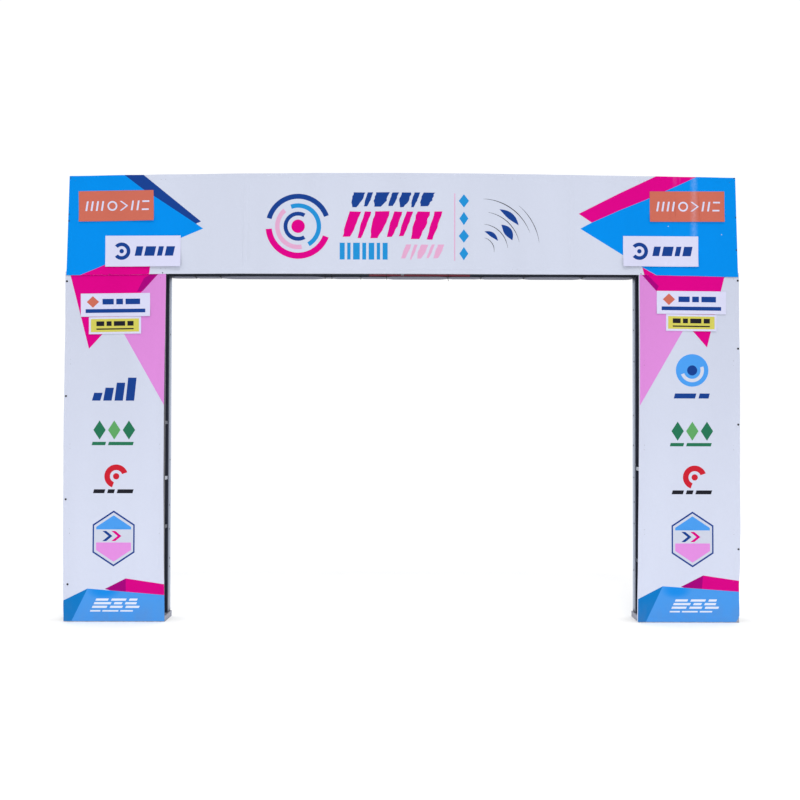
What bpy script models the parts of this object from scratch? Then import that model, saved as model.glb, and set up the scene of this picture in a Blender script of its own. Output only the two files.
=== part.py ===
"""Advertising arch: printed banners and patches on welded frames of steel tube.

Metres, +Z up. The arch spans along X, its printed side faces -Y, and it stands on z = 0.
"""
from math import cos, pi, radians, sin

import bmesh
import bpy
from mathutils import Vector

# The level where legs and beam meet
SEAM_HEIGHT = 3.090

# Steel
TUBE = 0.040
DEEP_TUBE = 0.120
STRUT = 0.030
FOOT_HEIGHT = 0.050
STEEL_HALF_DEPTH = 0.145
STEEL_OUTER_X = 2.984
STEEL_INNER_X = 2.110
BEAM_STEEL_HALF = 2.954
FOOT_OUTER_X = 2.988
FOOT_INNER_X = 2.098
FOOT_REAR_Y = 0.150

# Cloth: thicknesses, the gap to what it touches, the gap where it hangs free, and the lap at the seam
CLOTH = 0.0015
PATCH_CLOTH = 0.0012
GAP = 0.0003
DRAPE_GAP = 0.0020
LAP = 0.012
FLAP_SET_BACK = 0.002
FLAP_DROP = 0.008

# Levels of the ladders, measured to the middle of each tube
LEG_RUNG_HEIGHTS = (0.800, 1.550, 2.300)
BEAM_STATIONS = (-2.934, -2.130, -1.000, 0.000, 1.000, 2.130, 2.934)
BEAM_STRUT_STATIONS = {"under": (-2.934, -2.130, 0.000, 2.130, 2.934), "top": (-2.934, -2.130, 2.130, 2.934)}
LEG_STRUT_HEIGHTS = {"left": (0.833, 1.266, 1.762), "right": (0.531, 1.354)}

# The beam's top is crowned: x and level of the steel's top
STEEL_CROWN = ((-2.954, 3.951), (-2.130, 3.965), (-1.000, 3.981), (0.000, 3.981), (1.000, 3.977), (2.130, 3.962),
               (2.954, 3.950))

# Edges of the front banners, as the cloth hangs: level and x for the legs, x and level for the beam
LEG_OUTER_EDGE = {
    "left": ((0.000, 2.993), (0.320, 2.997), (0.700, 3.001), (1.100, 3.002), (1.730, 3.003), (2.000, 3.000),
             (2.270, 2.998), (2.620, 2.994), (3.100, 2.996)),
    "right": ((0.000, 2.961), (0.060, 2.991), (0.330, 2.988), (0.500, 2.998), (0.860, 3.003), (1.200, 3.000),
              (1.600, 3.001), (2.000, 3.003), (2.280, 3.002), (2.640, 2.996), (3.100, 2.995)),
}
LEG_INNER_EDGE = {
    "left": ((0.000, 2.099), (0.670, 2.110), (1.300, 2.115), (1.800, 2.115), (2.300, 2.112), (2.600, 2.107),
             (3.100, 2.102)),
    "right": ((0.000, 2.084), (0.670, 2.093), (1.300, 2.100), (2.000, 2.105), (2.500, 2.106), (3.100, 2.102)),
}
BEAM_LOW_EDGE = ((-2.990, 3.068), (-2.500, 3.073), (-2.100, 3.083), (-1.400, 3.088), (0.000, 3.0895), (1.300, 3.086),
                 (2.100, 3.085), (2.300, 3.080), (2.500, 3.076), (2.990, 3.066))
BEAM_TOP_EDGE = ((-2.990, 3.954), (-2.400, 3.965), (-2.100, 3.971), (-1.300, 3.982), (-0.700, 3.988), (0.000, 3.990),
                 (0.600, 3.987), (1.100, 3.981), (1.500, 3.976), (1.800, 3.971), (2.200, 3.966), (2.600, 3.960),
                 (2.990, 3.954))
BEAM_LOW_HALF = 2.987
BEAM_TOP_HALF = 2.964

# Screws down the outer edge of each leg banner, as level and x
SCREWS = {
    "left": ((0.330, 2.958), (1.081, 2.979), (1.995, 2.983), (3.015, 2.981)),
    "right": ((0.649, 2.984), (1.754, 2.985), (2.429, 2.985), (3.035, 2.984)),
}
WASHER_RADIUS = 0.009
WASHER_THICKNESS = 0.0015
HEAD_RADIUS = 0.0055
HEAD_HEIGHT = 0.003
CROWN_RADIUS = 0.0039
CROWN_DROP = 0.0008
SCREW_STEPS = 12

# Ties under the beam's rear chord
TIE_STATIONS = (-1.873, -1.648, -0.701, -0.641, -0.377, -0.146, 0.414, 0.713, 1.101, 1.633)
TIE_WIDTH = 0.005
TIE_THICKNESS = 0.0012
TIE_GAP = 0.0004
TIE_SLIT_Y = 0.120
SLIT_ROOM = 0.002

# Patches on the printed side: middle and size on the front, then how far each corner stands off
PATCH_COLUMNS = ("name", "x", "z", "width", "height", "tilt", "low_left", "low_right", "top_left", "top_right")
PATCHES = (
    ("patch_beam_orange_left", -2.547, 3.688, 0.665, 0.271, 1.2, 0.003, 0.006, 0.0, 0.001),
    ("patch_beam_white_left", -2.307, 3.285, 0.669, 0.276, 0.3, 0.004, 0.014, 0.0, 0.003),
    ("patch_beam_orange_right", 2.533, 3.694, 0.665, 0.272, 0.1, 0.007, 0.003, 0.002, 0.0),
    ("patch_beam_white_right", 2.297, 3.294, 0.669, 0.271, -0.2, 0.013, 0.004, 0.002, 0.0),
    ("patch_leg_white_left", -2.549, 2.806, 0.614, 0.206, 0.8, 0.002, 0.005, 0.001, 0.0),
    ("patch_leg_yellow_left", -2.552, 2.624, 0.462, 0.153, 1.0, 0.004, 0.002, 0.0, 0.0),
    ("patch_leg_white_right", 2.570, 2.838, 0.616, 0.204, -0.5, 0.004, 0.003, 0.0, 0.001),
    ("patch_leg_yellow_right", 2.569, 2.659, 0.449, 0.149, -0.7, 0.002, 0.005, 0.0, 0.0),
)

COLOURS = {
    "steel_black": ((0.030, 0.032, 0.038, 1.0), 0.45, 0.6),
    "steel_grey": ((0.55, 0.57, 0.58, 1.0), 0.5, 0.6),
    "banner_print": ((0.72, 0.76, 0.86, 1.0), 0.45, 0.0),
    "banner_plain": ((0.70, 0.74, 0.80, 1.0), 0.5, 0.0),
    "patch_white": ((0.74, 0.77, 0.88, 1.0), 0.4, 0.0),
    "patch_orange": ((0.60, 0.15, 0.07, 1.0), 0.4, 0.0),
    "patch_yellow": ((0.66, 0.62, 0.12, 1.0), 0.4, 0.0),
    "screw_black": ((0.02, 0.02, 0.022, 1.0), 0.4, 0.7),
    "tie_black": ((0.015, 0.015, 0.016, 1.0), 0.5, 0.0),
}

# What follows from the sizes above
FRONT_STEEL_Y = -STEEL_HALF_DEPTH
REAR_STEEL_Y = STEEL_HALF_DEPTH
FRONT_CLOTH_Y = FRONT_STEEL_Y - GAP
LEG_TOP = SEAM_HEIGHT - GAP
LEG_BOTTOM = FOOT_HEIGHT + GAP
DEEP_TUBE_FRONT_Y = REAR_STEEL_Y - DEEP_TUBE
STRUT_FRONT_Y = FRONT_STEEL_Y + TUBE + GAP

for old_object in list(bpy.data.objects):
    bpy.data.objects.remove(old_object, do_unlink=True)

parts = bpy.data.collections.new("advertising_arch")
cutters = bpy.data.collections.new("cutters")
bpy.context.scene.collection.children.link(parts)
bpy.context.scene.collection.children.link(cutters)


def make_material(name):
    colour, roughness, metallic = COLOURS[name]
    material = bpy.data.materials.new(name)
    material.use_nodes = True
    shader = material.node_tree.nodes["Principled BSDF"]
    shader.inputs["Base Color"].default_value = colour
    shader.inputs["Roughness"].default_value = roughness
    shader.inputs["Metallic"].default_value = metallic
    material.diffuse_color = colour
    return material


MATERIALS = {name: make_material(name) for name in COLOURS}


def new_part(name, mesh, material):
    part = bpy.data.objects.new(name, mesh)
    part.data.materials.append(MATERIALS[material])
    parts.objects.link(part)
    return part


def new_cutter(name, mesh):
    cutter = bpy.data.objects.new(name, mesh)
    cutter.hide_render = True
    cutter.display_type = "WIRE"
    cutters.objects.link(cutter)
    return cutter


def box_mesh(name, low, high):
    """A box between two corners."""
    shape = bmesh.new()
    bmesh.ops.create_cube(shape, size=1.0)
    low = Vector(low)
    high = Vector(high)
    bmesh.ops.scale(shape, vec=high - low, verts=shape.verts)
    bmesh.ops.translate(shape, vec=(low + high) / 2, verts=shape.verts)
    mesh = bpy.data.meshes.new(name)
    shape.to_mesh(mesh)
    shape.free()
    return mesh


def welded(name, material, boxes):
    """One body from tubes that meet; each box is a pair of corners."""
    part = new_part(name, box_mesh(name, *boxes[0]), material)
    for number, corners in enumerate(boxes[1:]):
        tool_name = f"{name}_tube_{number}"
        union = part.modifiers.new(tool_name, "BOOLEAN")
        union.operation = "UNION"
        union.solver = "EXACT"
        union.object = new_cutter(tool_name, box_mesh(tool_name, *corners))
    return part


def mirrored(side, x_from, x_to):
    """The X range of something given on the right leg, on the named side."""
    if side == "right":
        return x_from, x_to
    return -x_to, -x_from


def solid_box(name, material, x_range, y_range, z_range):
    low = (x_range[0], y_range[0], z_range[0])
    high = (x_range[1], y_range[1], z_range[1])
    return new_part(name, box_mesh(name, low, high), material)


def sheet(name, material, columns, rows, place, thickness=CLOTH, flip=False):
    """Cloth from a grid: place gives each point for its column and row number.

    With columns towards +X and rows upward, the thickness grows towards -Y, and with flip towards +Y.
    """
    shape = bmesh.new()
    bmesh.ops.create_grid(shape, x_segments=columns, y_segments=rows, size=0.5)
    for point in shape.verts:
        point.co = place((point.co.x + 0.5) * columns, (point.co.y + 0.5) * rows)
    if flip:
        bmesh.ops.reverse_faces(shape, faces=shape.faces)
    mesh = bpy.data.meshes.new(name)
    shape.to_mesh(mesh)
    shape.free()
    part = new_part(name, mesh, material)
    cloth = part.modifiers.new("cloth", "SOLIDIFY")
    cloth.thickness = thickness
    cloth.offset = 1.0
    cloth.use_even_offset = True
    return part


def between(table, position):
    """A table's value at a position, a straight line between its entries."""
    index = min(int(position), len(table) - 2)
    share = position - index
    return table[index] * (1 - share) + table[index + 1] * share


def smooth_step(low, high, value):
    share = min(max((value - low) / (high - low), 0.0), 1.0)
    return share * share * (3 - 2 * share)


def along(table, place, smooth=True):
    """A table's value at a place, eased or straight between its entries."""
    for (start, first), (end, second) in zip(table, table[1:]):
        if place <= end:
            share = max((place - start) / (end - start), 0.0)
            return first + (second - first) * (smooth_step(0.0, 1.0, share) if smooth else share)
    return table[-1][1]


# Frames of the legs

def build_leg_frames(side):
    outer = mirrored(side, STEEL_OUTER_X - TUBE, STEEL_OUTER_X)
    inner = mirrored(side, STEEL_INNER_X, STEEL_INNER_X + TUBE)
    weld_overlap = TUBE / 4
    across = mirrored(side, STEEL_INNER_X + TUBE - weld_overlap, STEEL_OUTER_X - TUBE + weld_overlap)
    rung_middles = (LEG_BOTTOM + TUBE / 2, *LEG_RUNG_HEIGHTS, LEG_TOP - TUBE / 2)
    uprights = {
        "front": (FRONT_STEEL_Y, FRONT_STEEL_Y + TUBE),
        "rear": (DEEP_TUBE_FRONT_Y, REAR_STEEL_Y),
    }
    rungs = {
        "front": (FRONT_STEEL_Y, FRONT_STEEL_Y + TUBE),
        "rear": (REAR_STEEL_Y - TUBE, REAR_STEEL_Y),
    }
    for face in ("front", "rear"):
        near, far = uprights[face]
        boxes = [((x[0], near, LEG_BOTTOM), (x[1], far, LEG_TOP)) for x in (outer, inner)]
        near, far = rungs[face]
        for middle in rung_middles:
            low = middle - TUBE / 2
            boxes.append(((across[0], near, low), (across[1], far, low + TUBE)))
        welded(f"leg_{side}_{face}_frame", "steel_black", boxes)


def build_foot(side):
    rail = TUBE
    x_from, x_to = mirrored(side, FOOT_INNER_X, FOOT_OUTER_X)
    near, far = FRONT_STEEL_Y, FOOT_REAR_Y
    half = rail / 2
    boxes = [
        ((x_from, near, 0), (x_to, near + rail, FOOT_HEIGHT)),
        ((x_from, far - rail, 0), (x_to, far, FOOT_HEIGHT)),
        ((x_from, near + half, 0), (x_from + rail, far - half, FOOT_HEIGHT)),
        ((x_to - rail, near + half, 0), (x_to, far - half, FOOT_HEIGHT)),
    ]
    welded(f"foot_{side}", "steel_grey", boxes)


def build_leg_struts(side):
    strut_y = (STRUT_FRONT_Y, DEEP_TUBE_FRONT_Y - GAP)
    set_back = (TUBE - STRUT) / 2
    places = {
        "inner": STEEL_INNER_X + set_back,
        "outer": STEEL_OUTER_X - set_back - STRUT,
    }
    for number, height in enumerate(LEG_STRUT_HEIGHTS[side], 1):
        for place, x in places.items():
            x_range = mirrored(side, x, x + STRUT)
            z_range = (height - STRUT / 2, height + STRUT / 2)
            name = f"strut_leg_{side}_{place}_{number}"
            solid_box(name, "steel_grey", x_range, strut_y, z_range)


# Frames of the beam

def chord_mesh(name, near, far):
    """The crowned upper chord, a square tube bent a little at each upright."""
    shape = bmesh.new()
    rings = []
    for x, top in STEEL_CROWN:
        corners = ((near, top - TUBE), (far, top - TUBE), (far, top), (near, top))
        rings.append([shape.verts.new((x, y, z)) for y, z in corners])
    for left, right in zip(rings, rings[1:]):
        for n in range(len(left)):
            after = (n + 1) % len(left)
            shape.faces.new((left[n], right[n], right[after], left[after]))
    shape.faces.new(rings[0])
    shape.faces.new(reversed(rings[-1]))
    bmesh.ops.recalc_face_normals(shape, faces=shape.faces)
    mesh = bpy.data.meshes.new(name)
    shape.to_mesh(mesh)
    shape.free()
    return mesh


def build_beam_frames():
    low = SEAM_HEIGHT
    weld_overlap = TUBE / 4
    lower_chords = {
        "front": (FRONT_STEEL_Y, FRONT_STEEL_Y + TUBE),
        "rear": (DEEP_TUBE_FRONT_Y, REAR_STEEL_Y),
    }
    others = {
        "front": (FRONT_STEEL_Y, FRONT_STEEL_Y + TUBE),
        "rear": (REAR_STEEL_Y - TUBE, REAR_STEEL_Y),
    }
    for face in ("front", "rear"):
        near, far = lower_chords[face]
        boxes = [((-BEAM_STEEL_HALF, near, low), (BEAM_STEEL_HALF, far, low + TUBE))]
        near, far = others[face]
        for x in BEAM_STATIONS:
            bottom = low + TUBE - weld_overlap
            top = along(STEEL_CROWN, x, smooth=False) - TUBE + weld_overlap
            boxes.append(((x - TUBE / 2, near, bottom), (x + TUBE / 2, far, top)))
        frame = welded(f"beam_{face}_frame", "steel_black", boxes)
        tool_name = f"beam_{face}_chord"
        union = frame.modifiers.new(tool_name, "BOOLEAN")
        union.operation = "UNION"
        union.solver = "EXACT"
        union.object = new_cutter(tool_name, chord_mesh(tool_name, near, far))


def build_beam_struts():
    set_back = (TUBE - STRUT) / 2
    far_ends = {"under": DEEP_TUBE_FRONT_Y - GAP, "top": REAR_STEEL_Y - TUBE - GAP}
    for level, far in far_ends.items():
        for number, x in enumerate(BEAM_STRUT_STATIONS[level], 1):
            low = SEAM_HEIGHT + set_back
            if level == "top":
                low = along(STEEL_CROWN, x, smooth=False) - set_back - STRUT
            x_range = (x - STRUT / 2, x + STRUT / 2)
            name = f"strut_beam_{level}_{number}"
            solid_box(name, "steel_grey", x_range, (STRUT_FRONT_Y, far), (low, low + STRUT))


# Printed banners

LEG_BANNER_HEM = 0.06
LEG_BANNER_SHARES = (0.0, LEG_BANNER_HEM, 0.22, 0.40, 0.60, 0.78, 1 - LEG_BANNER_HEM, 1.0)
LEG_BANNER_ROWS = 40
LEG_BANNER_BOTTOM = 0.006
LEG_BANNER_TOP = SEAM_HEIGHT + LAP
LEG_WAVE = 0.0035
LEG_WAVE_LENGTH = 0.62
LEG_WAVE_SLANT = 3.0
LEG_WAVE_LOW = (0.20, 0.60)
LEG_WAVE_HIGH = (2.10, 2.45)


def build_leg_front_banner(side):
    """A leg's print: flat along both hems, where it is screwed on, with slack between them."""
    turn = 1 if side == "right" else -1
    columns = len(LEG_BANNER_SHARES) - 1

    def place(column, row):
        across = between(LEG_BANNER_SHARES, column)
        if side == "left":
            across = 1 - across
        z = LEG_BANNER_BOTTOM + (LEG_BANNER_TOP - LEG_BANNER_BOTTOM) * row / LEG_BANNER_ROWS
        inner = along(LEG_INNER_EDGE[side], z)
        outer = along(LEG_OUTER_EDGE[side], z)
        x = inner + (outer - inner) * across
        held = sin(pi * min(max((across - LEG_BANNER_HEM) / (1 - 2 * LEG_BANNER_HEM), 0.0), 1.0))
        free = smooth_step(*LEG_WAVE_LOW, z) * (1 - smooth_step(*LEG_WAVE_HIGH, z))
        swing = 0.5 + 0.5 * sin(2 * pi * z / LEG_WAVE_LENGTH + LEG_WAVE_SLANT * across)
        return Vector((turn * x, FRONT_CLOTH_Y - LEG_WAVE * held * free * swing, z))

    sheet(f"leg_{side}_front_banner", "banner_print", columns, LEG_BANNER_ROWS, place)


BEAM_BANNER_COLUMNS = 48
BEAM_UPPER_SHARES = (0.0, 0.20, 0.42, 0.64, 0.84, 1.0)
LAP_TOP = SEAM_HEIGHT + LAP + 0.004
LAP_END = LAP_TOP + 0.029
BEAM_LIFT = CLOTH + 2 * GAP
BEAM_WAVE = 0.004
BEAM_WAVE_LENGTH = 0.95
BEAM_WAVE_SLANT = 2.0
BEAM_WAVE_REACH = (1.45, 1.80)


def build_beam_front_banner():
    """The beam's print: narrower at its top, crowned along its top edge, its lower edge lower over the legs."""
    rows = len(BEAM_UPPER_SHARES) + 1

    def place(column, row):
        across = 2 * column / BEAM_BANNER_COLUMNS - 1
        low = along(BEAM_LOW_EDGE, BEAM_LOW_HALF * across)
        top = along(BEAM_TOP_EDGE, BEAM_LOW_HALF * across)
        levels = [low, LAP_TOP]
        for upper in BEAM_UPPER_SHARES:
            levels.append(LAP_END + (top - LAP_END) * upper)
        z = between(levels, row)
        share = (z - low) / (top - low)
        x = across * (BEAM_LOW_HALF + (BEAM_TOP_HALF - BEAM_LOW_HALF) * share)
        lift = BEAM_LIFT * (1 - smooth_step(LAP_TOP, LAP_END, z))
        free = sin(pi * share) * (1 - smooth_step(*BEAM_WAVE_REACH, abs(x)))
        swing = 0.5 + 0.5 * sin(2 * pi * x / BEAM_WAVE_LENGTH + BEAM_WAVE_SLANT * share)
        return Vector((x, FRONT_CLOTH_Y - lift - BEAM_WAVE * free * swing, z))

    sheet("beam_front_banner", "banner_print", BEAM_BANNER_COLUMNS, rows, place)


# Plain banners on the back

REAR_BANNER_BOTTOM = FOOT_HEIGHT + 0.006
LEG_REAR_TOP = SEAM_HEIGHT - FLAP_DROP - CLOTH - DRAPE_GAP
REAR_ROWS = 10
LEG_REAR_BELLY = 0.006
LEG_REAR_WAVE_LENGTH = 0.9
LEG_REAR_WAVE_SLANT = 2.5
REAR_FACE_COLUMNS = 6


def build_leg_rear_banner(side):
    """One sheet round the back of a leg: inner flap, back and outer flap."""
    turn = 1 if side == "right" else -1
    inner = STEEL_INNER_X - GAP
    outer = STEEL_OUTER_X + GAP
    back = REAR_STEEL_Y + GAP
    flap_edge = DEEP_TUBE_FRONT_Y + FLAP_SET_BACK
    face = [inner + (outer - inner) * n / REAR_FACE_COLUMNS for n in range(REAR_FACE_COLUMNS + 1)]
    across_x = [inner, inner, *face, outer, outer]
    across_y = [flap_edge, (flap_edge + back) / 2, *[back] * len(face), (flap_edge + back) / 2, flap_edge]
    columns = len(across_x) - 1

    def place(column, row):
        x = between(across_x, column)
        y = between(across_y, column)
        z = REAR_BANNER_BOTTOM + (LEG_REAR_TOP - REAR_BANNER_BOTTOM) * row / REAR_ROWS
        across = (x - inner) / (outer - inner)
        held = sin(pi * across) * sin(pi * row / REAR_ROWS)
        swing = 0.5 + 0.5 * sin(2 * pi * z / LEG_REAR_WAVE_LENGTH + LEG_REAR_WAVE_SLANT * across)
        return Vector((turn * x, y + LEG_REAR_BELLY * held * swing, z))

    sheet(f"leg_{side}_rear_banner", "banner_plain", columns, REAR_ROWS, place, flip=side == "right")


BEAM_REAR_ROWS = 5
BEAM_REAR_COLUMNS = 24
BEAM_REAR_BELLY = 0.0140
BEAM_REAR_WAVE_LENGTH = 1.3
STAND_UP = 0.002


def build_beam_rear_banner():
    """The back of the beam, down to the underside of the flap that is welded along its lower edge."""
    back = REAR_STEEL_Y + DRAPE_GAP
    low = SEAM_HEIGHT - FLAP_DROP - CLOTH

    def place(column, row):
        x = BEAM_TOP_HALF * (2 * column / BEAM_REAR_COLUMNS - 1)
        high = along(STEEL_CROWN, x, smooth=False) + STAND_UP
        share = row / BEAM_REAR_ROWS
        held = sin(pi * share) * cos(pi * x / (2 * BEAM_TOP_HALF))
        swing = 0.5 + 0.5 * cos(2 * pi * x / BEAM_REAR_WAVE_LENGTH)
        return Vector((x, back + BEAM_REAR_BELLY * held * swing, low + (high - low) * share))

    sheet("beam_rear_banner", "banner_plain", BEAM_REAR_COLUMNS, BEAM_REAR_ROWS, place, flip=True)


FLAP_END_X = STEEL_INNER_X - 0.010
FLAP_EDGE_Y = DEEP_TUBE_FRONT_Y + FLAP_SET_BACK
FLAP_SAG = 0.0035
FULL_SAG_SPAN = 0.60
FLAP_STEPS_A_SPAN = 4
FLAP_ROWS = 3


def flap_sag(x, inward):
    """How far the flap hangs at x, between the ties on both sides; inward is 1 at its free edge."""
    held_at = (-FLAP_END_X, *TIE_STATIONS, FLAP_END_X)
    for start, end in zip(held_at, held_at[1:]):
        if start <= x <= end:
            drop = FLAP_SAG * min(1.0, (end - start) / FULL_SAG_SPAN)
            return drop * sin(pi * (x - start) / (end - start)) ** 2 * inward
    return 0.0


def build_beam_rear_flap():
    """The flap under the rear chord between the legs; it hangs a little between its ties."""
    weld_y = REAR_STEEL_Y + DRAPE_GAP - GAP
    under = SEAM_HEIGHT - FLAP_DROP
    held_at = (-FLAP_END_X, *TIE_STATIONS, FLAP_END_X)
    column_x = [held_at[0]]
    for start, end in zip(held_at, held_at[1:]):
        for step in range(1, FLAP_STEPS_A_SPAN + 1):
            column_x.append(start + (end - start) * step / FLAP_STEPS_A_SPAN)
    columns = len(column_x) - 1

    def place(column, row):
        x = between(column_x, column)
        inward = 1 - row / FLAP_ROWS
        y = weld_y + (FLAP_EDGE_Y - weld_y) * inward
        return Vector((x, y, under - flap_sag(x, inward)))

    part = sheet("beam_rear_flap", "banner_plain", columns, FLAP_ROWS, place, flip=True)
    slit_length = TIE_WIDTH + SLIT_ROOM
    slit_width = TIE_THICKNESS + SLIT_ROOM
    reach = 5 * CLOTH
    for number, x in enumerate(TIE_STATIONS, 1):
        low = (x - slit_length / 2, TIE_SLIT_Y - slit_width / 2, under - reach)
        high = (x + slit_length / 2, TIE_SLIT_Y + slit_width / 2, under + reach)
        slit = part.modifiers.new(f"slit_{number}", "BOOLEAN")
        slit.operation = "DIFFERENCE"
        slit.solver = "EXACT"
        slit.object = new_cutter(f"slit_{number}", box_mesh(f"slit_{number}", low, high))


# Patches

PATCH_CELLS_ACROSS = 6
PATCH_CELLS_DOWN = 4


def build_patch(row):
    patch = dict(zip(PATCH_COLUMNS, row))
    tilt = radians(patch["tilt"])
    base_y = FRONT_CLOTH_Y - CLOTH - GAP

    def place(column, row_number):
        u = column / PATCH_CELLS_ACROSS
        v = row_number / PATCH_CELLS_DOWN
        left = (1 - u) ** 3
        right = u ** 3
        low = (1 - v) ** 3
        top = v ** 3
        lift = patch["low_left"] * left * low + patch["low_right"] * right * low
        lift += patch["top_left"] * left * top + patch["top_right"] * right * top
        dx = (u - 0.5) * patch["width"]
        dz = (v - 0.5) * patch["height"]
        x = patch["x"] + dx * cos(tilt) - dz * sin(tilt)
        z = patch["z"] + dx * sin(tilt) + dz * cos(tilt)
        return Vector((x, base_y - lift, z))

    material = "patch_" + patch["name"].split("_")[2]
    sheet(patch["name"], material, PATCH_CELLS_ACROSS, PATCH_CELLS_DOWN, place, thickness=PATCH_CLOTH)


# Screws and ties

def build_screw_mesh():
    """A domed head on a washer, turned about its own axis, its seat at z = 0."""
    top = WASHER_THICKNESS
    profile = [
        (0.0, top + HEAD_HEIGHT),
        (CROWN_RADIUS, top + HEAD_HEIGHT - CROWN_DROP),
        (HEAD_RADIUS, top),
        (WASHER_RADIUS, top),
        (WASHER_RADIUS, 0.0),
        (0.0, 0.0),
    ]
    shape = bmesh.new()
    points = [shape.verts.new((x, 0, z)) for x, z in profile]
    for first, second in zip(points, points[1:]):
        shape.edges.new((first, second))
    mesh = bpy.data.meshes.new("banner_screw")
    shape.to_mesh(mesh)
    shape.free()
    mesh.materials.append(MATERIALS["screw_black"])
    return mesh


def build_screws():
    mesh = build_screw_mesh()
    seat_y = FRONT_CLOTH_Y - CLOTH - GAP
    for side, places in SCREWS.items():
        turn = 1 if side == "right" else -1
        for number, (height, x) in enumerate(places, 1):
            part = bpy.data.objects.new(f"banner_screw_{side}_{number}", mesh)
            parts.objects.link(part)
            part.location = (turn * x, seat_y, height)
            part.rotation_euler = (pi / 2, 0, 0)
            turned = part.modifiers.new("turned", "SCREW")
            turned.steps = SCREW_STEPS
            turned.render_steps = SCREW_STEPS
            turned.use_merge_vertices = True
            turned.merge_threshold = 0.0001


def build_ties():
    """Each tie runs round the chord, out through the flap's slit and back under its edge."""
    middle = TIE_GAP + TIE_THICKNESS / 2
    above_flap = SEAM_HEIGHT - DRAPE_GAP / 2
    below_flap = SEAM_HEIGHT - FLAP_DROP - CLOTH - middle
    front = DEEP_TUBE_FRONT_Y - middle
    back = REAR_STEEL_Y + DRAPE_GAP / 2
    over = SEAM_HEIGHT + TUBE + middle
    route = (
        (TIE_SLIT_Y, above_flap),
        (back, above_flap),
        (back, over),
        (front, over),
        (front, below_flap),
        (TIE_SLIT_Y, below_flap),
    )
    for number, x in enumerate(TIE_STATIONS, 1):
        shape = bmesh.new()
        left = [shape.verts.new((x - TIE_WIDTH / 2, y, z)) for y, z in route]
        loop = [shape.edges.new((left[n - 1], left[n])) for n in range(len(left))]
        band = bmesh.ops.extrude_edge_only(shape, edges=loop)
        moved = [item for item in band["geom"] if isinstance(item, bmesh.types.BMVert)]
        bmesh.ops.translate(shape, vec=(TIE_WIDTH, 0, 0), verts=moved)
        bmesh.ops.recalc_face_normals(shape, faces=shape.faces)
        mesh = bpy.data.meshes.new(f"cable_tie_{number}")
        shape.to_mesh(mesh)
        shape.free()
        part = new_part(f"cable_tie_{number}", mesh, "tie_black")
        strap = part.modifiers.new("strap", "SOLIDIFY")
        strap.thickness = TIE_THICKNESS
        strap.offset = 0.0
        strap.use_even_offset = True


for leg_side in ("left", "right"):
    build_leg_frames(leg_side)
    build_foot(leg_side)
    build_leg_struts(leg_side)
    build_leg_front_banner(leg_side)
    build_leg_rear_banner(leg_side)
build_beam_frames()
build_beam_struts()
build_beam_front_banner()
build_beam_rear_banner()
build_beam_rear_flap()
for patch_row in PATCHES:
    build_patch(patch_row)
build_screws()
build_ties()
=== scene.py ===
"""Looks of the advertising arch: printed banners, patches, rear cloth and welded tube frame.

Metres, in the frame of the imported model: +X along the span, -Y the printed side, +Z up.
"""
from math import cos, exp, pi, radians, sin, sqrt
from random import Random

import bmesh
import bpy
from mathutils import Matrix, Vector
from mathutils.geometry import delaunay_2d_cdt


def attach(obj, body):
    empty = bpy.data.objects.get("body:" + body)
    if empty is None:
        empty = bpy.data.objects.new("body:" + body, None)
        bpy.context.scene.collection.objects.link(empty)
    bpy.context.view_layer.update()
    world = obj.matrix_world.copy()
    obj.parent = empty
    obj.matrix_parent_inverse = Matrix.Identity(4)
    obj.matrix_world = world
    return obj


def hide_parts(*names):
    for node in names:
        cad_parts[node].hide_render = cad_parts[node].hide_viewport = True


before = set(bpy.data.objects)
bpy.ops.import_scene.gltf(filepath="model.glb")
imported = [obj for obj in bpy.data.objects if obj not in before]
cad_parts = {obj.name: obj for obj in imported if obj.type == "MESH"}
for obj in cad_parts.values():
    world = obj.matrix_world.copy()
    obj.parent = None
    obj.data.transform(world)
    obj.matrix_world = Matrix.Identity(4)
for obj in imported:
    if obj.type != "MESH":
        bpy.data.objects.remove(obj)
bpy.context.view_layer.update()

SIDES = ("left", "right")
TURN = {"left": -1, "right": 1}

# Cloth and steel, as in the solids
CLOTH = 0.0015
PATCH_CLOTH = 0.0012
CLEAR = 0.0003
STEEL_HALF_DEPTH = 0.145
DEEP_TUBE_FRONT_Y = 0.025
STEEL_INNER_X = 2.110
STEEL_OUTER_X = 2.984
SEAM = 3.090
CLOTH_BACK_Y = -STEEL_HALF_DEPTH - CLEAR
CLOTH_FRONT_Y = CLOTH_BACK_Y - CLOTH

# Edges of the front banners: level and x for the legs, x and level for the beam
LEG_OUTER_EDGE = {
    "left": ((0.000, 2.993), (0.320, 2.997), (0.700, 3.001), (1.100, 3.002), (1.730, 3.003), (2.000, 3.000),
             (2.270, 2.998), (2.620, 2.994), (3.100, 2.996)),
    "right": ((0.000, 2.961), (0.060, 2.991), (0.330, 2.988), (0.500, 2.998), (0.860, 3.003), (1.200, 3.000),
              (1.600, 3.001), (2.000, 3.003), (2.280, 3.002), (2.640, 2.996), (3.100, 2.995)),
}
LEG_INNER_EDGE = {
    "left": ((0.000, 2.099), (0.670, 2.110), (1.300, 2.115), (1.800, 2.115), (2.300, 2.112), (2.600, 2.107),
             (3.100, 2.102)),
    "right": ((0.000, 2.084), (0.670, 2.093), (1.300, 2.100), (2.000, 2.105), (2.500, 2.106), (3.100, 2.102)),
}
BEAM_LOW_EDGE = ((-2.990, 3.068), (-2.500, 3.073), (-2.100, 3.083), (-1.400, 3.088), (0.000, 3.0895), (1.300, 3.086),
                 (2.100, 3.085), (2.300, 3.080), (2.500, 3.076), (2.990, 3.066))
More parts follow.
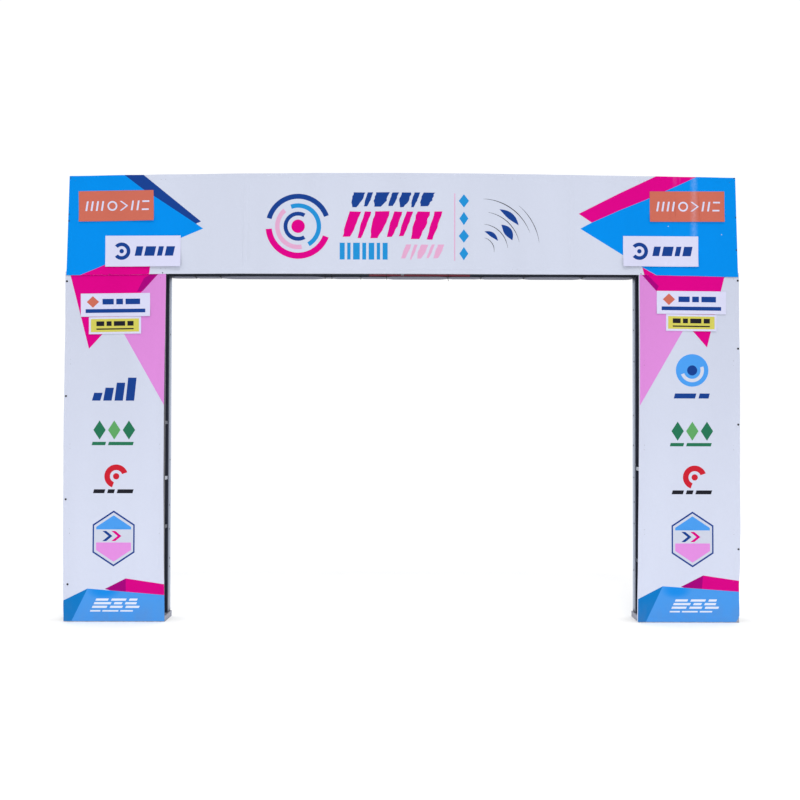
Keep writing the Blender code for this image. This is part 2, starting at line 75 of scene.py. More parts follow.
BEAM_TOP_EDGE = ((-2.990, 3.954), (-2.400, 3.965), (-2.100, 3.971), (-1.300, 3.982), (-0.700, 3.988), (0.000, 3.990),
                 (0.600, 3.987), (1.100, 3.981), (1.500, 3.976), (1.800, 3.971), (2.200, 3.966), (2.600, 3.960),
                 (2.990, 3.954))
BEAM_LOW_HALF = 2.987
BEAM_TOP_HALF = 2.964
STEEL_CROWN = ((-2.954, 3.951), (-2.130, 3.965), (-1.000, 3.981), (0.000, 3.981), (1.000, 3.977), (2.130, 3.962),
               (2.954, 3.950))


# Colours

def linear(red, green, blue):
    """An 8-bit screen colour as the numbers that shaders take."""
    def channel(value):
        value /= 255
        return value / 12.92 if value <= 0.04045 else ((value + 0.055) / 1.055) ** 2.4
    return channel(red), channel(green), channel(blue), 1.0


INKS = {
    "white": (183, 188, 203),
    "leg_white": (182, 187, 203),
    "blue": (0, 123, 206),
    "pale_blue": (66, 138, 210),
    "deep_blue": (10, 108, 176),
    "navy": (20, 55, 124),
    "sky": (30, 126, 186),
    "magenta": (192, 0, 118),
    "purple": (146, 0, 108),
    "pink": (193, 122, 191),
    "rose": (197, 148, 180),
    "green": (34, 102, 74),
    "leaf": (84, 146, 88),
    "red": (178, 29, 44),
    "black": (28, 28, 36),
    "orange": (178, 94, 78),
    "yellow": (184, 178, 80),
    "patch_white": (189, 190, 213),
    "chalk": (206, 213, 226),
}


# Finishes

EDGE_ROUND = 0.003


class Finish:
    """A material in the making: its shader, the object's own coordinates and short names for nodes."""

    def __init__(self, name, roughness, metallic=0.0):
        self.material = bpy.data.materials.new(name)
        self.material.use_nodes = True
        self.tree = self.material.node_tree
        self.shader = self.tree.nodes["Principled BSDF"]
        self.shader.inputs["Roughness"].default_value = roughness
        self.shader.inputs["Metallic"].default_value = metallic
        self.place = self.node("TexCoord").outputs["Object"]

    def node(self, kind, inputs=None, **settings):
        """A node with its settings made and its inputs set or linked."""
        made = self.tree.nodes.new("ShaderNode" + kind)
        for key, value in settings.items():
            setattr(made, key, value)
        for socket, value in (inputs or {}).items():
            if isinstance(value, bpy.types.NodeSocket):
                self.tree.links.new(value, made.inputs[socket])
            else:
                made.inputs[socket].default_value = value
        return made

    def link(self, socket, value):
        self.tree.links.new(value, self.shader.inputs[socket])

    def math(self, operation, *values, clamp=False):
        return self.node("Math", dict(enumerate(values)), operation=operation, use_clamp=clamp).outputs[0]

    def span(self, value, low, high, to_low=0.0, to_high=1.0, smooth=False):
        """A value taken from one range to another."""
        inputs = {"Value": value, "From Min": low, "From Max": high, "To Min": to_low, "To Max": to_high}
        kind = "SMOOTHSTEP" if smooth else "LINEAR"
        return self.node("MapRange", inputs, interpolation_type=kind).outputs["Result"]

    def mix(self, factor, first, second, blend="MIX"):
        inputs = {0: factor, 6: first, 7: second}
        return self.node("Mix", inputs, data_type="RGBA", blend_type=blend).outputs[2]

    def stretched(self, scale):
        return self.node("Mapping", {"Vector": self.place, "Scale": scale}).outputs["Vector"]

    def noise(self, scale, detail=3.0, roughness=0.5):
        """Noise at one scale, or at a scale for each direction."""
        vector = self.place
        if isinstance(scale, tuple):
            vector, scale = self.stretched(scale), 1.0
        inputs = {"Vector": vector, "Scale": scale, "Detail": detail, "Roughness": roughness}
        return self.node("TexNoise", inputs).outputs["Fac"]

    def axes(self, vector):
        parts = self.node("SeparateXYZ", {"Vector": vector}).outputs
        return parts["X"], parts["Y"], parts["Z"]

    def upward(self):
        """How far a surface faces up, from -1 to 1."""
        return self.axes(self.node("NewGeometry").outputs["Normal"])[2]

    def rounded(self):
        return self.node("Bevel", {"Radius": EDGE_ROUND}, samples=4).outputs["Normal"]

    def bump(self, height, distance, strength, under=None):
        inputs = {"Height": height, "Distance": distance, "Strength": strength}
        if under is not None:
            inputs["Normal"] = under
        normal = self.node("Bump", inputs).outputs["Normal"]
        self.link("Normal", normal)
        return normal


WEAVE_PITCH = 0.0011
WEAVE_HEIGHT = 0.00006
DENT_HEIGHT = 0.0035
DIRT_TOP = 0.28
DIRT = linear(120, 108, 96)
# Painted shade: the plain cloth's flaps darken towards this colour near the front of the frame
FLAP_SHADE = linear(84, 90, 106)
# Painted shade: faces of the plain cloth that look down darken towards this colour
UNDERSIDE_SHADE = linear(96, 97, 110)
# Painted highlight: the pale colour of the streaks along the beam's folds
FOLD_HIGHLIGHT = linear(206, 214, 236)
# Painted light: levels at which the legs' bounce-light tone starts and ends
BOUNCE_LEVELS = (0.3, 2.9)

# Pale streaks where the beam's banner was folded, a painted highlight for the sky reflected off the folds: x, half
# width, lowest level, strength
STREAK_COLUMNS = ("x", "half", "low", "strength")
STREAKS = ((2.594, 0.044, 3.20, 0.11), (2.425, 0.030, 3.84, 0.08), (2.470, 0.012, 3.86, 0.07))
STREAK_FADE = 0.25

# Soft pools of deeper blue in the pale facets at the feet: x, level, reach across, reach up
POOL_COLUMNS = ("x", "z", "across", "up")
POOLS = ((-2.640, 0.275, 0.170, 0.085), (2.430, 0.285, 0.150, 0.085))
POOL_SHARE = 0.85


def deeper_pools(cloth, base, x, z):
    """Blends soft pools of the plain blue ink into a colour."""
    for row in POOLS:
        pool = dict(zip(POOL_COLUMNS, row))
        aside = cloth.math("DIVIDE", cloth.math("SUBTRACT", x, pool["x"]), pool["across"])
        above = cloth.math("DIVIDE", cloth.math("SUBTRACT", z, pool["z"]), pool["up"])
        squares = cloth.math("MULTIPLY_ADD", aside, aside, cloth.math("MULTIPLY", above, above))
        share = cloth.span(squares, 1.0, 0.0, 0.0, POOL_SHARE, smooth=True)
        base = cloth.mix(share, base, linear(*INKS["blue"]))
    return base


def painted_fold_highlights(cloth, base, x, z, mottle):
    """Lays the pale streaks over a colour, broken up by the mottle: a painted highlight for the sky reflected off
    the folds.
    """
    for row in STREAKS:
        streak = dict(zip(STREAK_COLUMNS, row))
        off = cloth.math("ABSOLUTE", cloth.math("SUBTRACT", x, streak["x"]))
        near = cloth.span(off, streak["half"], 0.0, 0.0, streak["strength"], smooth=True)
        high = cloth.span(z, streak["low"], streak["low"] + STREAK_FADE)
        broken = cloth.span(mottle, 0.35, 0.65, 0.45, 1.3)
        base = cloth.mix(cloth.math("MULTIPLY", cloth.math("MULTIPLY", near, high), broken), base, FOLD_HIGHLIGHT)
    return base


def coated_cloth(name, colour, roughness=0.42, tone=0.030, painted_bounce=None,
                 painted_shade=False, fold_highlighted=False, pooled=False):
    """Woven base under a smooth coat: slow tone bands, fine mottle, dirt low down, weave and small dents.

    fade is the tone near the ground and high up, painted light: lighter low down for light bounced up off the
    ground.
    streaked cloth gets pale streaks along the beam's folds, a painted highlight for the sky reflected off them.
    grimy cloth is darker along its flaps and under its folds, painted shade.
    """
    cloth = Finish(name, roughness)
    x, y, z = cloth.axes(cloth.place)
    mottle = cloth.noise(46.0, detail=4.0, roughness=0.6)
    lightness = cloth.span(cloth.noise((2.6, 1.0, 0.35), detail=2.0), 0.25, 0.75, 1 - tone, 1 + tone * 0.6)
    lightness = cloth.math("MULTIPLY", lightness, cloth.span(mottle, 0.2, 0.8, 0.985, 1.012))
    # Painted light: lighter low down and darker high up, for light bounced up off the ground
    if painted_bounce is not None:
        lightness = cloth.math("MULTIPLY", lightness, cloth.span(z, *BOUNCE_LEVELS, *painted_bounce))
    shade = cloth.node("CombineXYZ", dict.fromkeys("XYZ", lightness)).outputs[0]
    base = cloth.mix(1.0, colour, shade, "MULTIPLY")
    if pooled:
        base = deeper_pools(cloth, base, x, z)
    # Painted highlight: pale streaks along the beam's folds
    if fold_highlighted:
        base = painted_fold_highlights(cloth, base, x, z, mottle)
    # Painted shade: darker along the flaps towards the front of the frame, and on faces that look down
    if painted_shade:
        base = cloth.mix(cloth.span(y, DEEP_TUBE_FRONT_Y, STEEL_HALF_DEPTH, 0.85, 0.0), base, FLAP_SHADE)
        base = cloth.mix(cloth.span(cloth.upward(), -0.4, -0.9, 0.0, 0.9), base, UNDERSIDE_SHADE)
    splashes = cloth.span(cloth.noise((9.0, 9.0, 4.0), 6.0, 0.65), 0.42, 0.72)
    low = cloth.span(z, DIRT_TOP, 0.0, smooth=True)
    dust = cloth.math("MULTIPLY", low, cloth.span(splashes, 0.0, 1.0, 0.03, 0.17))
    cloth.link("Base Color", cloth.mix(dust, base, DIRT))
    rough = cloth.span(mottle, 0.3, 0.7, roughness - 0.04, roughness + 0.06)
    cloth.link("Roughness", cloth.math("ADD", rough, cloth.math("MULTIPLY", dust, 0.5), clamp=True))
    cloth.shader.inputs["Specular IOR Level"].default_value = 0.03
    turns = 2 * pi / WEAVE_PITCH
    weft_x, weft_y, warp = cloth.axes(cloth.stretched((turns, turns, turns)))
    weft = cloth.math("SINE", cloth.math("ADD", weft_x, weft_y))
    threads = cloth.math("MAXIMUM", weft, cloth.math("SINE", warp))
    fine = cloth.bump(threads, WEAVE_HEIGHT, 0.6)
    cloth.bump(cloth.noise((7.0, 7.0, 3.2), roughness=0.45), DENT_HEIGHT, 0.55, under=fine)
    return cloth.material


STEEL_RUNS = linear(46, 54, 76)
STEEL_PRIMER = linear(104, 84, 76)
STEEL_DUST = linear(150, 146, 138)


def painted_steel(name, colour, chips, roughness=0.42, red_band=None):
    """Sprayed tube: orange peel, scuffs and dust on what faces up, and where asked a dark red stretch low on the
    tube.
    """
    steel = Finish(name, roughness)
    grain = steel.noise(35.0, detail=6.0, roughness=0.65)
    runs = steel.noise((60.0, 60.0, 9.0), detail=4.0)
    base = steel.mix(steel.span(runs, 0.3, 0.7, 0.0, 0.3), colour, STEEL_RUNS)
    if red_band is not None:
        x, _, z = steel.axes(steel.place)
        ragged = steel.math("MULTIPLY_ADD", grain, 0.06, -0.03)
        between = steel.math("COMPARE", steel.math("ADD", x, ragged), red_band["middle"], red_band["half"])
        low = steel.math("LESS_THAN", z, red_band["top"])
        red_share = steel.math("MULTIPLY", steel.math("MULTIPLY", between, low), 0.85)
        base = steel.mix(red_share, base, red_band["colour"])
    base = steel.mix(steel.span(grain, chips, chips + 0.03), base, STEEL_PRIMER)
    facing_up = steel.span(steel.upward(), 0.5, 1.0)
    dusty = steel.math("MULTIPLY", facing_up, steel.span(grain, 0.3, 0.7, 0.1, 0.5))
    steel.link("Base Color", steel.mix(dusty, base, STEEL_DUST))
    rough = steel.span(grain, 0.3, 0.7, roughness - 0.07, roughness + 0.12)
    steel.link("Roughness", steel.math("ADD", rough, dusty))
    steel.bump(steel.noise(260.0, detail=2.0), 0.0004, 0.5, under=steel.rounded())
    return steel.material


def zinc_steel(name, light, dark, roughness=0.48):
    """Zinc-coated tube: faceted spangle, grey speckle and stains."""
    zinc = Finish(name, roughness, metallic=0.55)
    cells = zinc.node("TexVoronoi", {"Vector": zinc.place, "Scale": 95.0}, feature="F1")
    spangle = zinc.node("SeparateColor", {"Color": cells.outputs["Color"]}).outputs["Red"]
    speckle = zinc.noise(420.0, detail=2.0)
    stains = zinc.noise((8.0, 8.0, 14.0), detail=6.0, roughness=0.6)
    base = zinc.mix(zinc.span(spangle, 0.0, 1.0, 0.0, 0.5), light, dark)
    base = zinc.mix(zinc.span(speckle, 0.56, 0.68, 0.0, 0.7), base, dark)
    zinc.link("Base Color", zinc.mix(zinc.span(stains, 0.52, 0.75, 0.0, 0.55), base, DIRT))
    zinc.link("Roughness", zinc.span(spangle, 0.0, 1.0, roughness - 0.12, roughness + 0.12))
    zinc.bump(speckle, 0.0003, 0.5, under=zinc.rounded())
    return zinc.material


def moulded(name, colour, roughness, metallic=0.0):
    """Small parts: moulded or blackened, with a fine grain and rubbed spots."""
    small = Finish(name, roughness, metallic)
    grain = small.noise(300.0)
    small.link("Base Color", small.mix(small.span(grain, 0.55, 0.75, 0.0, 0.5), colour, linear(92, 92, 96)))
    small.link("Roughness", small.span(grain, 0.3, 0.7, roughness - 0.08, roughness + 0.1))
    small.bump(grain, 0.0002, 0.5)
    return small.material


# Painted light on the legs' white and pink: their tone near the ground and high up, lighter low down for light
# bounced up off the ground
LEG_BOUNCE_LIGHT = (1.12, 0.96)
BOUNCE_LIT_INKS = ("leg_white", "pink")
# Inks that carry the painted highlight along the beam's folds
FOLD_HIGHLIGHTED_INKS = ("blue", "magenta", "orange")
POOLED = ("pale_blue",)
ink_materials = {
    ink: coated_cloth("print_" + ink, linear(*rgb), painted_bounce=LEG_BOUNCE_LIGHT if ink in BOUNCE_LIT_INKS else None,
                      fold_highlighted=ink in FOLD_HIGHLIGHTED_INKS, pooled=ink in POOLED)
    for ink, rgb in INKS.items()
}
# The reverse is dark as a blackout backing would be, and dark also as painted shade for the inside of the frame
reverse_cloth = coated_cloth("cloth_reverse", linear(44, 47, 56), roughness=0.6, tone=0.08)
plain_cloth = coated_cloth("cloth_plain", linear(190, 199, 216), roughness=0.46, tone=0.035, painted_shade=True)
# A dark red stretch on the rear chord, below the given level and between x -0.30 and 0.614
RED_CHORD_BAND = {"middle": 0.157, "half": 0.457, "top": SEAM + 0.041, "colour": linear(120, 36, 52)}
black_steel = painted_steel("steel_black", linear(22, 27, 42), chips=0.72)
chord_steel = painted_steel("steel_black_red_band", linear(22, 27, 42), chips=0.72, red_band=RED_CHORD_BAND)
light_zinc = zinc_steel("zinc_light", linear(184, 192, 206), linear(134, 141, 154))
dull_zinc = zinc_steel("zinc_dull", linear(84, 90, 104), linear(54, 59, 70), roughness=0.58)
rail_zinc = zinc_steel("zinc_rail", linear(164, 166, 180), linear(104, 106, 120), roughness=0.6)
weld_metal = zinc_steel("weld_metal", linear(96, 92, 90), linear(52, 50, 52), roughness=0.5)
blackened = moulded("screw_blackened", linear(28, 28, 32), 0.38, metallic=0.6)
tie_plastic = moulded("tie_plastic", linear(24, 24, 26), 0.5)


# Meshes and objects

def mesh_from(body, name, sharp=None):
    """A mesh from a bmesh; sharp is the angle in degrees from which its edges stay sharp."""
    mesh = bpy.data.meshes.new(name)
    body.to_mesh(mesh)
    body.free()
    if sharp is not None:
        mesh.shade_smooth()
        mesh.set_sharp_from_angle(angle=radians(sharp))
    return mesh


def into_scene(name, data):
    made = bpy.data.objects.new(name, data)
    bpy.context.scene.collection.objects.link(made)
    return made


# Flat print shapes, as outlines in metres across and up

def bar(x, z, width, height, lean=0.0):
    """A bar from its lower left corner; lean moves its top across."""
    return [(x, z), (x + width, z), (x + width + lean, z + height), (x + lean, z + height)]


def disc(x, z, radius, steps=32):
    turns = [2 * pi * n / steps for n in range(steps)]
    return [(x + radius * cos(turn), z + radius * sin(turn)) for turn in turns]


def arc_band(x, z, inner, outer, start, end, steps=24):
    """A piece of a ring between two angles, in degrees."""
    angles = [radians(start + (end - start) * n / steps) for n in range(steps + 1)]
    outside = [(x + outer * cos(a), z + outer * sin(a)) for a in angles]
    inside = [(x + inner * cos(a), z + inner * sin(a)) for a in reversed(angles)]
    return outside + inside


def diamond(x, z, half_width, half_height):
    return [(x + half_width, z), (x, z + half_height), (x - half_width, z), (x, z - half_height)]


def hexagon(x, z, radius, tall=1.15):
    corners = [radians(30 + 60 * n) for n in range(6)]
    return [(x + radius * cos(a), z + radius * tall * sin(a)) for a in corners]


def chevron(x, z, width, height, thick):
    """A chevron that points to +X, from its lower left corner."""
    point = width - thick
    return [(x, z), (x + thick, z), (x + width, z + height / 2), (x + thick, z + height),
            (x, z + height), (x + point, z + height / 2)]


def row_of_bars(ink, x, z, widths, height, gap, lean):
    shapes = []
    for width in widths:
        shapes.append((ink, bar(x, z, width, height, lean)))
        x += width + gap
    return shapes


# Cloth cut from its print

def area_of(points):
    pairs = zip(points, points[1:] + points[:1])
    return sum(a[0] * b[1] - b[0] * a[1] for a, b in pairs) / 2


def inside(point, points):
    """Whether a point lies in an outline."""
    x, z = point
    found = False
    for (x1, z1), (x2, z2) in zip(points, points[1:] + points[:1]):
        if (z1 > z) != (z2 > z) and x < (x2 - x1) * (z - z1) / (z2 - z1) + x1:
            found = not found
    return found


def printed_sheet(name, outline, shapes, place, cell, base_ink, lines=(), extra=(), reverse=None):
    """A sheet whose faces follow its print.

    place gives the point in space for a point of the cut and a depth, 0 at the printed face and 1 at the
    reverse. lines are polylines that the faces keep to, and extra are single points that they use.
    """
    points = [Vector(point) for point in outline]
    left, right = min(p[0] for p in outline), max(p[0] for p in outline)
    bottom, top = min(p[1] for p in outline), max(p[1] for p in outline)
    columns = max(2, round((right - left) / cell))
    rows = max(2, round((top - bottom) / cell))
    for column in range(1, columns):
        for row in range(rows + 1):
            offset = 0.25 if row % 2 else -0.25
            point = (left + (right - left) * (column + offset) / columns, bottom + (top - bottom) * row / rows)
            if inside(point, outline):
                points.append(Vector(point))
    points += [Vector(point) for point in extra if inside(point, outline)]
    edges = []
    for line in lines:
        first = len(points)
        points += [Vector(point) for point in line]
        edges += [(first + n, first + n + 1) for n in range(len(line) - 1)]
    faces = [list(range(len(outline)))]
    for _, shape in shapes:
        if area_of(shape) < 0:
            shape = shape[::-1]
        faces.append(list(range(len(points), len(points) + len(shape))))
        points += [Vector(point) for point in shape]
    flat, _, triangles, _, _, owners = delaunay_2d_cdt(points, edges, faces, 1, 1e-6)
    inks = [base_ink] + [ink for ink, _ in shapes]
    slots = list(dict.fromkeys(inks))
    body = bmesh.new()
    front = [body.verts.new(place(p.x, p.y, 0.0)) for p in flat]
    back = [body.verts.new(place(p.x, p.y, 1.0)) for p in flat]
    for triangle, owner in zip(triangles, owners):
        if 0 not in owner:
            continue
        printed = body.faces.new([front[n] for n in triangle])
        printed.material_index = slots.index(inks[max(owner)])
        blank = body.faces.new([back[n] for n in reversed(triangle)])
        blank.material_index = len(slots)
    body.verts.index_update()
    count = len(front)
    borders = [e for e in body.edges if e.is_boundary and max(v.index for v in e.verts) < count]
    body.verts.ensure_lookup_table()
    for edge in borders:
        start, end = (loop_vert.index for loop_vert in edge_direction(edge))
        side = body.faces.new([body.verts[n] for n in (end, start, start + count, end + count)])
        side.material_index = len(slots) + 1
    loose = [vert for vert in body.verts if not vert.link_faces]
    bmesh.ops.delete(body, geom=loose, context="VERTS")
    for face in body.faces:
        face.smooth = True
    for edge in body.edges:
        kinds = {min(face.material_index, len(slots)) for face in edge.link_faces}
        if len(slots) in kinds and len({face.material_index for face in edge.link_faces}) > 1:
            edge.smooth = False
    mesh = mesh_from(body, name)
    for finish in [ink_materials[ink] for ink in slots] + [reverse or reverse_cloth, ink_materials[base_ink]]:
        mesh.materials.append(finish)
    return into_scene(name, mesh)


def edge_direction(edge):
    """A border edge's ends, in the order that its one face goes round."""
    loop = edge.link_loops[0]
    return loop.vert, loop.link_loop_next.vert


def smooth_step(low, high, value):
    share = min(max((value - low) / (high - low), 0.0), 1.0)
    return share * share * (3 - 2 * share)


def bell(distance, reach):
    return exp(-(distance / reach) ** 2)


def along(table, place, smooth=True):
    """A table's value at a place, eased or straight between its entries."""
    for (start, first), (end, second) in zip(table, table[1:]):
        if place <= end:
            share = max((place - start) / (end - start), 0.0)
            return first + (second - first) * (smooth_step(0.0, 1.0, share) if smooth else share)
    return table[-1][1]


# Banners on the legs

LEG_BOTTOM = 0.006
LEG_TOP = SEAM + 0.012
LEG_WAVE = 0.0035
LEG_WAVE_LENGTH = 0.62
LEG_WAVE_SLANT = 3.0
LEG_WAVE_LOW = (0.20, 0.60)
LEG_WAVE_HIGH = (2.10, 2.45)
LEG_HEM_SHARE = 0.06
SCREWS = {
    "left": ((0.330, 2.958), (1.081, 2.979), (1.995, 2.983), (3.015, 2.981)),
    "right": ((0.649, 2.984), (1.754, 2.985), (2.429, 2.985), (3.035, 2.984)),
}
PUCKER = 0.0026
PUCKER_REACH = 0.075
HEM = 0.030
PUCKER_START = 0.012
PUCKER_FULL = 0.05
PUCKER_PEAK = 0.035
PUCKER_LOBES = 9
PUCKER_TURN = 2.0
PUCKER_TOP = 2.9
HEM_STEP = 0.0006
HEM_FADE = 0.002
RAGGED_EDGE = 0.0012


def leg_outer(side, z):
    """The banner's outer edge, a touch ragged from the cutter."""
    return along(LEG_OUTER_EDGE[side], z) - RAGGED_EDGE * (0.5 + 0.5 * sin(37 * z) * sin(11 * z))


def leg_inner(side, z):
    return along(LEG_INNER_EDGE[side], z)


def leg_surface(side, x, z):
    """How far the leg's cloth stands off its flat place: slow waves, puckers at the screws, hem."""
    reach = abs(x)
    inner, outer = leg_inner(side, z), along(LEG_OUTER_EDGE[side], z)
    across = (reach - inner) / (outer - inner)
    held = sin(pi * min(max((across - LEG_HEM_SHARE) / (1 - 2 * LEG_HEM_SHARE), 0.0), 1.0))
    free = smooth_step(*LEG_WAVE_LOW, z) * (1 - smooth_step(*LEG_WAVE_HIGH, z))
    swing = 0.5 + 0.5 * sin(2 * pi * z / LEG_WAVE_LENGTH + LEG_WAVE_SLANT * across)
    off = LEG_WAVE * held * free * swing
    for screw_z, screw_x in SCREWS[side]:
        dx, dz = screw_x - reach, z - screw_z
        distance = sqrt(dx * dx + dz * dz)
        if PUCKER_START < distance < 3 * PUCKER_REACH and screw_z < PUCKER_TOP:
            lobes = 0.5 + 0.5 * sin(PUCKER_LOBES * (dz / distance) + PUCKER_TURN)
            ring = bell(distance - PUCKER_PEAK, PUCKER_REACH)
            off += PUCKER * lobes * ring * smooth_step(PUCKER_START, PUCKER_FULL, distance)
    from_edge = min(outer - reach, reach - inner, z - LEG_BOTTOM)
    off += HEM_STEP * (1 - smooth_step(HEM, HEM + HEM_FADE, from_edge))
    return off


LEG_FACETS = {
    "left": (
        ("pink", [(-2.146, 3.11), (-2.08, 3.11), (-2.08, 1.856), (-2.475, 2.552), (-2.545, 2.675)]),
        ("magenta", [(-2.961, 3.11), (-2.146, 3.11), (-2.188, 3.064), (-2.545, 2.675), (-2.666, 2.542),
                     (-2.782, 2.415), (-2.862, 2.728)]),
        ("purple", [(-2.358, 2.925), (-2.298, 3.045), (-2.250, 3.073), (-2.210, 3.11), (-2.146, 3.11),
                    (-2.188, 3.064), (-2.308, 2.930)]),
        ("magenta", [(-2.629, 0.289), (-2.444, 0.383), (-2.080, 0.328), (-2.080, 0.200)]),
        ("purple", [(-2.629, 0.289), (-2.444, 0.383), (-2.443, 0.240)]),
        ("pale_blue", [(-3.02, -0.01), (-2.08, -0.01), (-2.08, 0.234), (-2.781, 0.293), (-2.988, 0.191),
                       (-3.02, 0.175)]),
        ("deep_blue", [(-3.02, -0.01), (-2.929, -0.01), (-2.781, 0.293), (-2.988, 0.191), (-3.02, 0.175)]),
    ),
    "right": (
        ("pink", [(2.06, 3.11), (2.108, 3.11), (2.531, 2.649), (2.492, 2.581), (2.06, 1.831)]),
        ("magenta", [(2.108, 3.11), (2.876, 3.11), (2.863, 3.059), (2.709, 2.439), (2.526, 2.649)]),
        ("purple", [(2.108, 3.11), (2.155, 3.11), (2.280, 2.985), (2.260, 2.940)]),
        ("magenta", [(2.470, 0.315), (2.670, 0.417), (3.02, 0.365), (3.02, 0.24)]),
        ("purple", [(2.470, 0.315), (2.670, 0.417), (2.655, 0.270)]),
        ("pale_blue", [(2.06, -0.01), (3.02, -0.01), (3.02, 0.271),
                       (2.311, 0.321), (2.102, 0.212), (2.06, 0.190)]),
        ("deep_blue", [(2.06, -0.01), (2.154, -0.01), (2.311, 0.321), (2.102, 0.212), (2.06, 0.190)]),
    ),
}
LEG_MIDDLE = {"left": -2.553, "right": 2.576}
WHITE_MARGIN = 0.006


def leg_print(side):
    """Plain facets at the top and the foot, and small marks between them, all in the banner's own colours."""
    shapes = list(LEG_FACETS[side]) + leg_marks(side, LEG_MIDDLE[side])
    if side == "right":
        levels = [LEG_BOTTOM - 0.01 + (LEG_TOP - LEG_BOTTOM + 0.02) * n / 12 for n in range(13)]
        margin = [(leg_inner(side, z) + WHITE_MARGIN, z) for z in levels]
        shapes.append(("leg_white", [(2.06, levels[0]), *margin, (2.06, levels[-1])]))
    return shapes


def leg_marks(side, x):
    shapes = []
    if side == "left":
        for n, height in enumerate((0.07, 0.115, 0.16, 0.205)):
            shapes.append(("navy", bar(x - 0.20 + 0.10 * n, 1.955, 0.075, height, 0.02)))
    else:
        shapes.append(("pale_blue", disc(x, 2.235, 0.145)))
        shapes.append(("white", arc_band(x, 2.235, 0.075, 0.105, 200, 380)))
        shapes.append(("navy", disc(x, 2.235, 0.045)))
        shapes += row_of_bars("navy", x - 0.165, 1.985, (0.19, 0.09), 0.045, 0.03, 0.012)
    for n in range(3):
        shapes.append(("leaf" if n % 2 else "green", diamond(x - 0.13 + 0.13 * n, 1.695, 0.055, 0.085)))
    shapes += row_of_bars("green", x - 0.20, 1.560, (0.12, 0.22), 0.030, 0.025, 0.008)
    shapes.append(("red", arc_band(x + 0.02, 1.285, 0.055, 0.105, 20, 250)))
    shapes.append(("red", disc(x + 0.02, 1.285, 0.028)))
    shapes += row_of_bars("black", x - 0.185, 1.135, (0.10, 0.06, 0.14), 0.035, 0.025, 0.010)
    shapes.append(("navy", hexagon(x, 0.735, 0.215)))
    shapes.append(("white", hexagon(x, 0.735, 0.200)))
    shapes.append(("pale_blue", hexagon(x, 0.735, 0.178)))
    shapes.append(("white", bar(x - 0.1545, 0.70, 0.309, 0.115)))
    shapes.append(("pink", [(x - 0.1545, 0.633), (x, 0.531), (x + 0.1545, 0.633),
                            (x + 0.1545, 0.70), (x - 0.1545, 0.70)]))
    shapes.append(("navy", chevron(x - 0.10, 0.712, 0.09, 0.09, 0.035)))
    shapes.append(("magenta", chevron(x - 0.02, 0.712, 0.09, 0.09, 0.035)))
    for n in range(3):
        widths = ((0.13, 0.11, 0.12), (0.15, 0.07, 0.10), (0.11, 0.13, 0.07))[n]
        shapes += row_of_bars("chalk", x - 0.19 + 0.016 * n, 0.122 + 0.032 * n, widths, 0.019, 0.028, 0.009)
    shapes += row_of_bars("chalk", x - 0.205, 0.090, (0.09, 0.14, 0.11), 0.013, 0.018, 0.004)
    return shapes


def build_leg_banner(side):
    t = TURN[side]
    heights = [LEG_BOTTOM + (LEG_TOP - LEG_BOTTOM) * n / 110 for n in range(111)]
    outer = [(t * leg_outer(side, z), z) for z in heights]
    inner = [(t * leg_inner(side, z), z) for z in reversed(heights[::5])]
    outline = outer + inner
    if area_of(outline) < 0:
        outline = outline[::-1]

    def place(x, z, depth):
        off = leg_surface(side, x, z)
        return Vector((x, CLOTH_FRONT_Y - off + CLOTH * depth, z))

    hem_lines = []
    for inset in (HEM, HEM + 0.002):
        low = LEG_BOTTOM + inset
        near = [(t * (leg_inner(side, z) + inset), z) for z in reversed(heights[::5]) if z > low]
        far = [(t * (along(LEG_OUTER_EDGE[side], z) - inset), z) for z in heights[::2] if z > low]
        corners = [(near[-1][0], low), (far[0][0], low)]
        hem_lines.append(near + corners + far)
    rings = []
    for screw_z, screw_x in SCREWS[side]:
        for radius in (0.013, 0.024, 0.038):
            rings += [(t * screw_x + x, screw_z + z) for x, z in disc(0, 0, radius, 14)]
    name = f"leg_{side}_front_print"
    piece = printed_sheet(name, outline, leg_print(side), place, 0.035, "leg_white", lines=hem_lines, extra=rings)
    width = sum(x for _, x in LEG_OUTER_EDGE[side]) / len(LEG_OUTER_EDGE[side])
    width -= sum(x for _, x in LEG_INNER_EDGE[side]) / len(LEG_INNER_EDGE[side])
    finish_sheet(piece, f"leg_{side}_front_banner", (width, LEG_TOP - LEG_BOTTOM))


def finish_sheet(piece, node, flat, area=None):
    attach(piece, "root")
    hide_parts(node)
    if area is None:
        area = flat[0] * flat[1] * 0.995


# Banner on the beam

LAP_TOP = SEAM + 0.016
LAP_END = SEAM + 0.045
BEAM_LIFT = CLOTH + 2 * CLEAR
BEAM_WAVE = 0.004
BEAM_WAVE_LENGTH = 0.95
BEAM_WAVE_SLANT = 2.0
BEAM_WAVE_REACH = (1.45, 1.80)
CURL = 0.006

# Creases down the beam: x at the bottom, x at the top, half width, height
CREASE_LINES = (-1, -0.5, 0, 0.5, 1)
CREASE_COLUMNS = ("low_x", "high_x", "half", "height")
CREASES = (
    (2.655, 2.605, 0.020, 0.0022),
    (2.395, 2.405, 0.026, 0.0008),
    (-1.415, -1.395, 0.030, 0.0010),
    (-0.790, -0.800, 0.024, 0.0008),
    (1.512, 1.498, 0.030, 0.0011),
)


def beam_edges(x):
    """Levels of the banner's lower and upper edges at x."""
    across = x / BEAM_TOP_HALF * BEAM_LOW_HALF
    return along(BEAM_LOW_EDGE, x), along(BEAM_TOP_EDGE, across)


def beam_half(z):
    share = (z - BEAM_LOW_EDGE[0][1]) / (BEAM_TOP_EDGE[0][1] - BEAM_LOW_EDGE[0][1])
    return BEAM_LOW_HALF + (BEAM_TOP_HALF - BEAM_LOW_HALF) * share


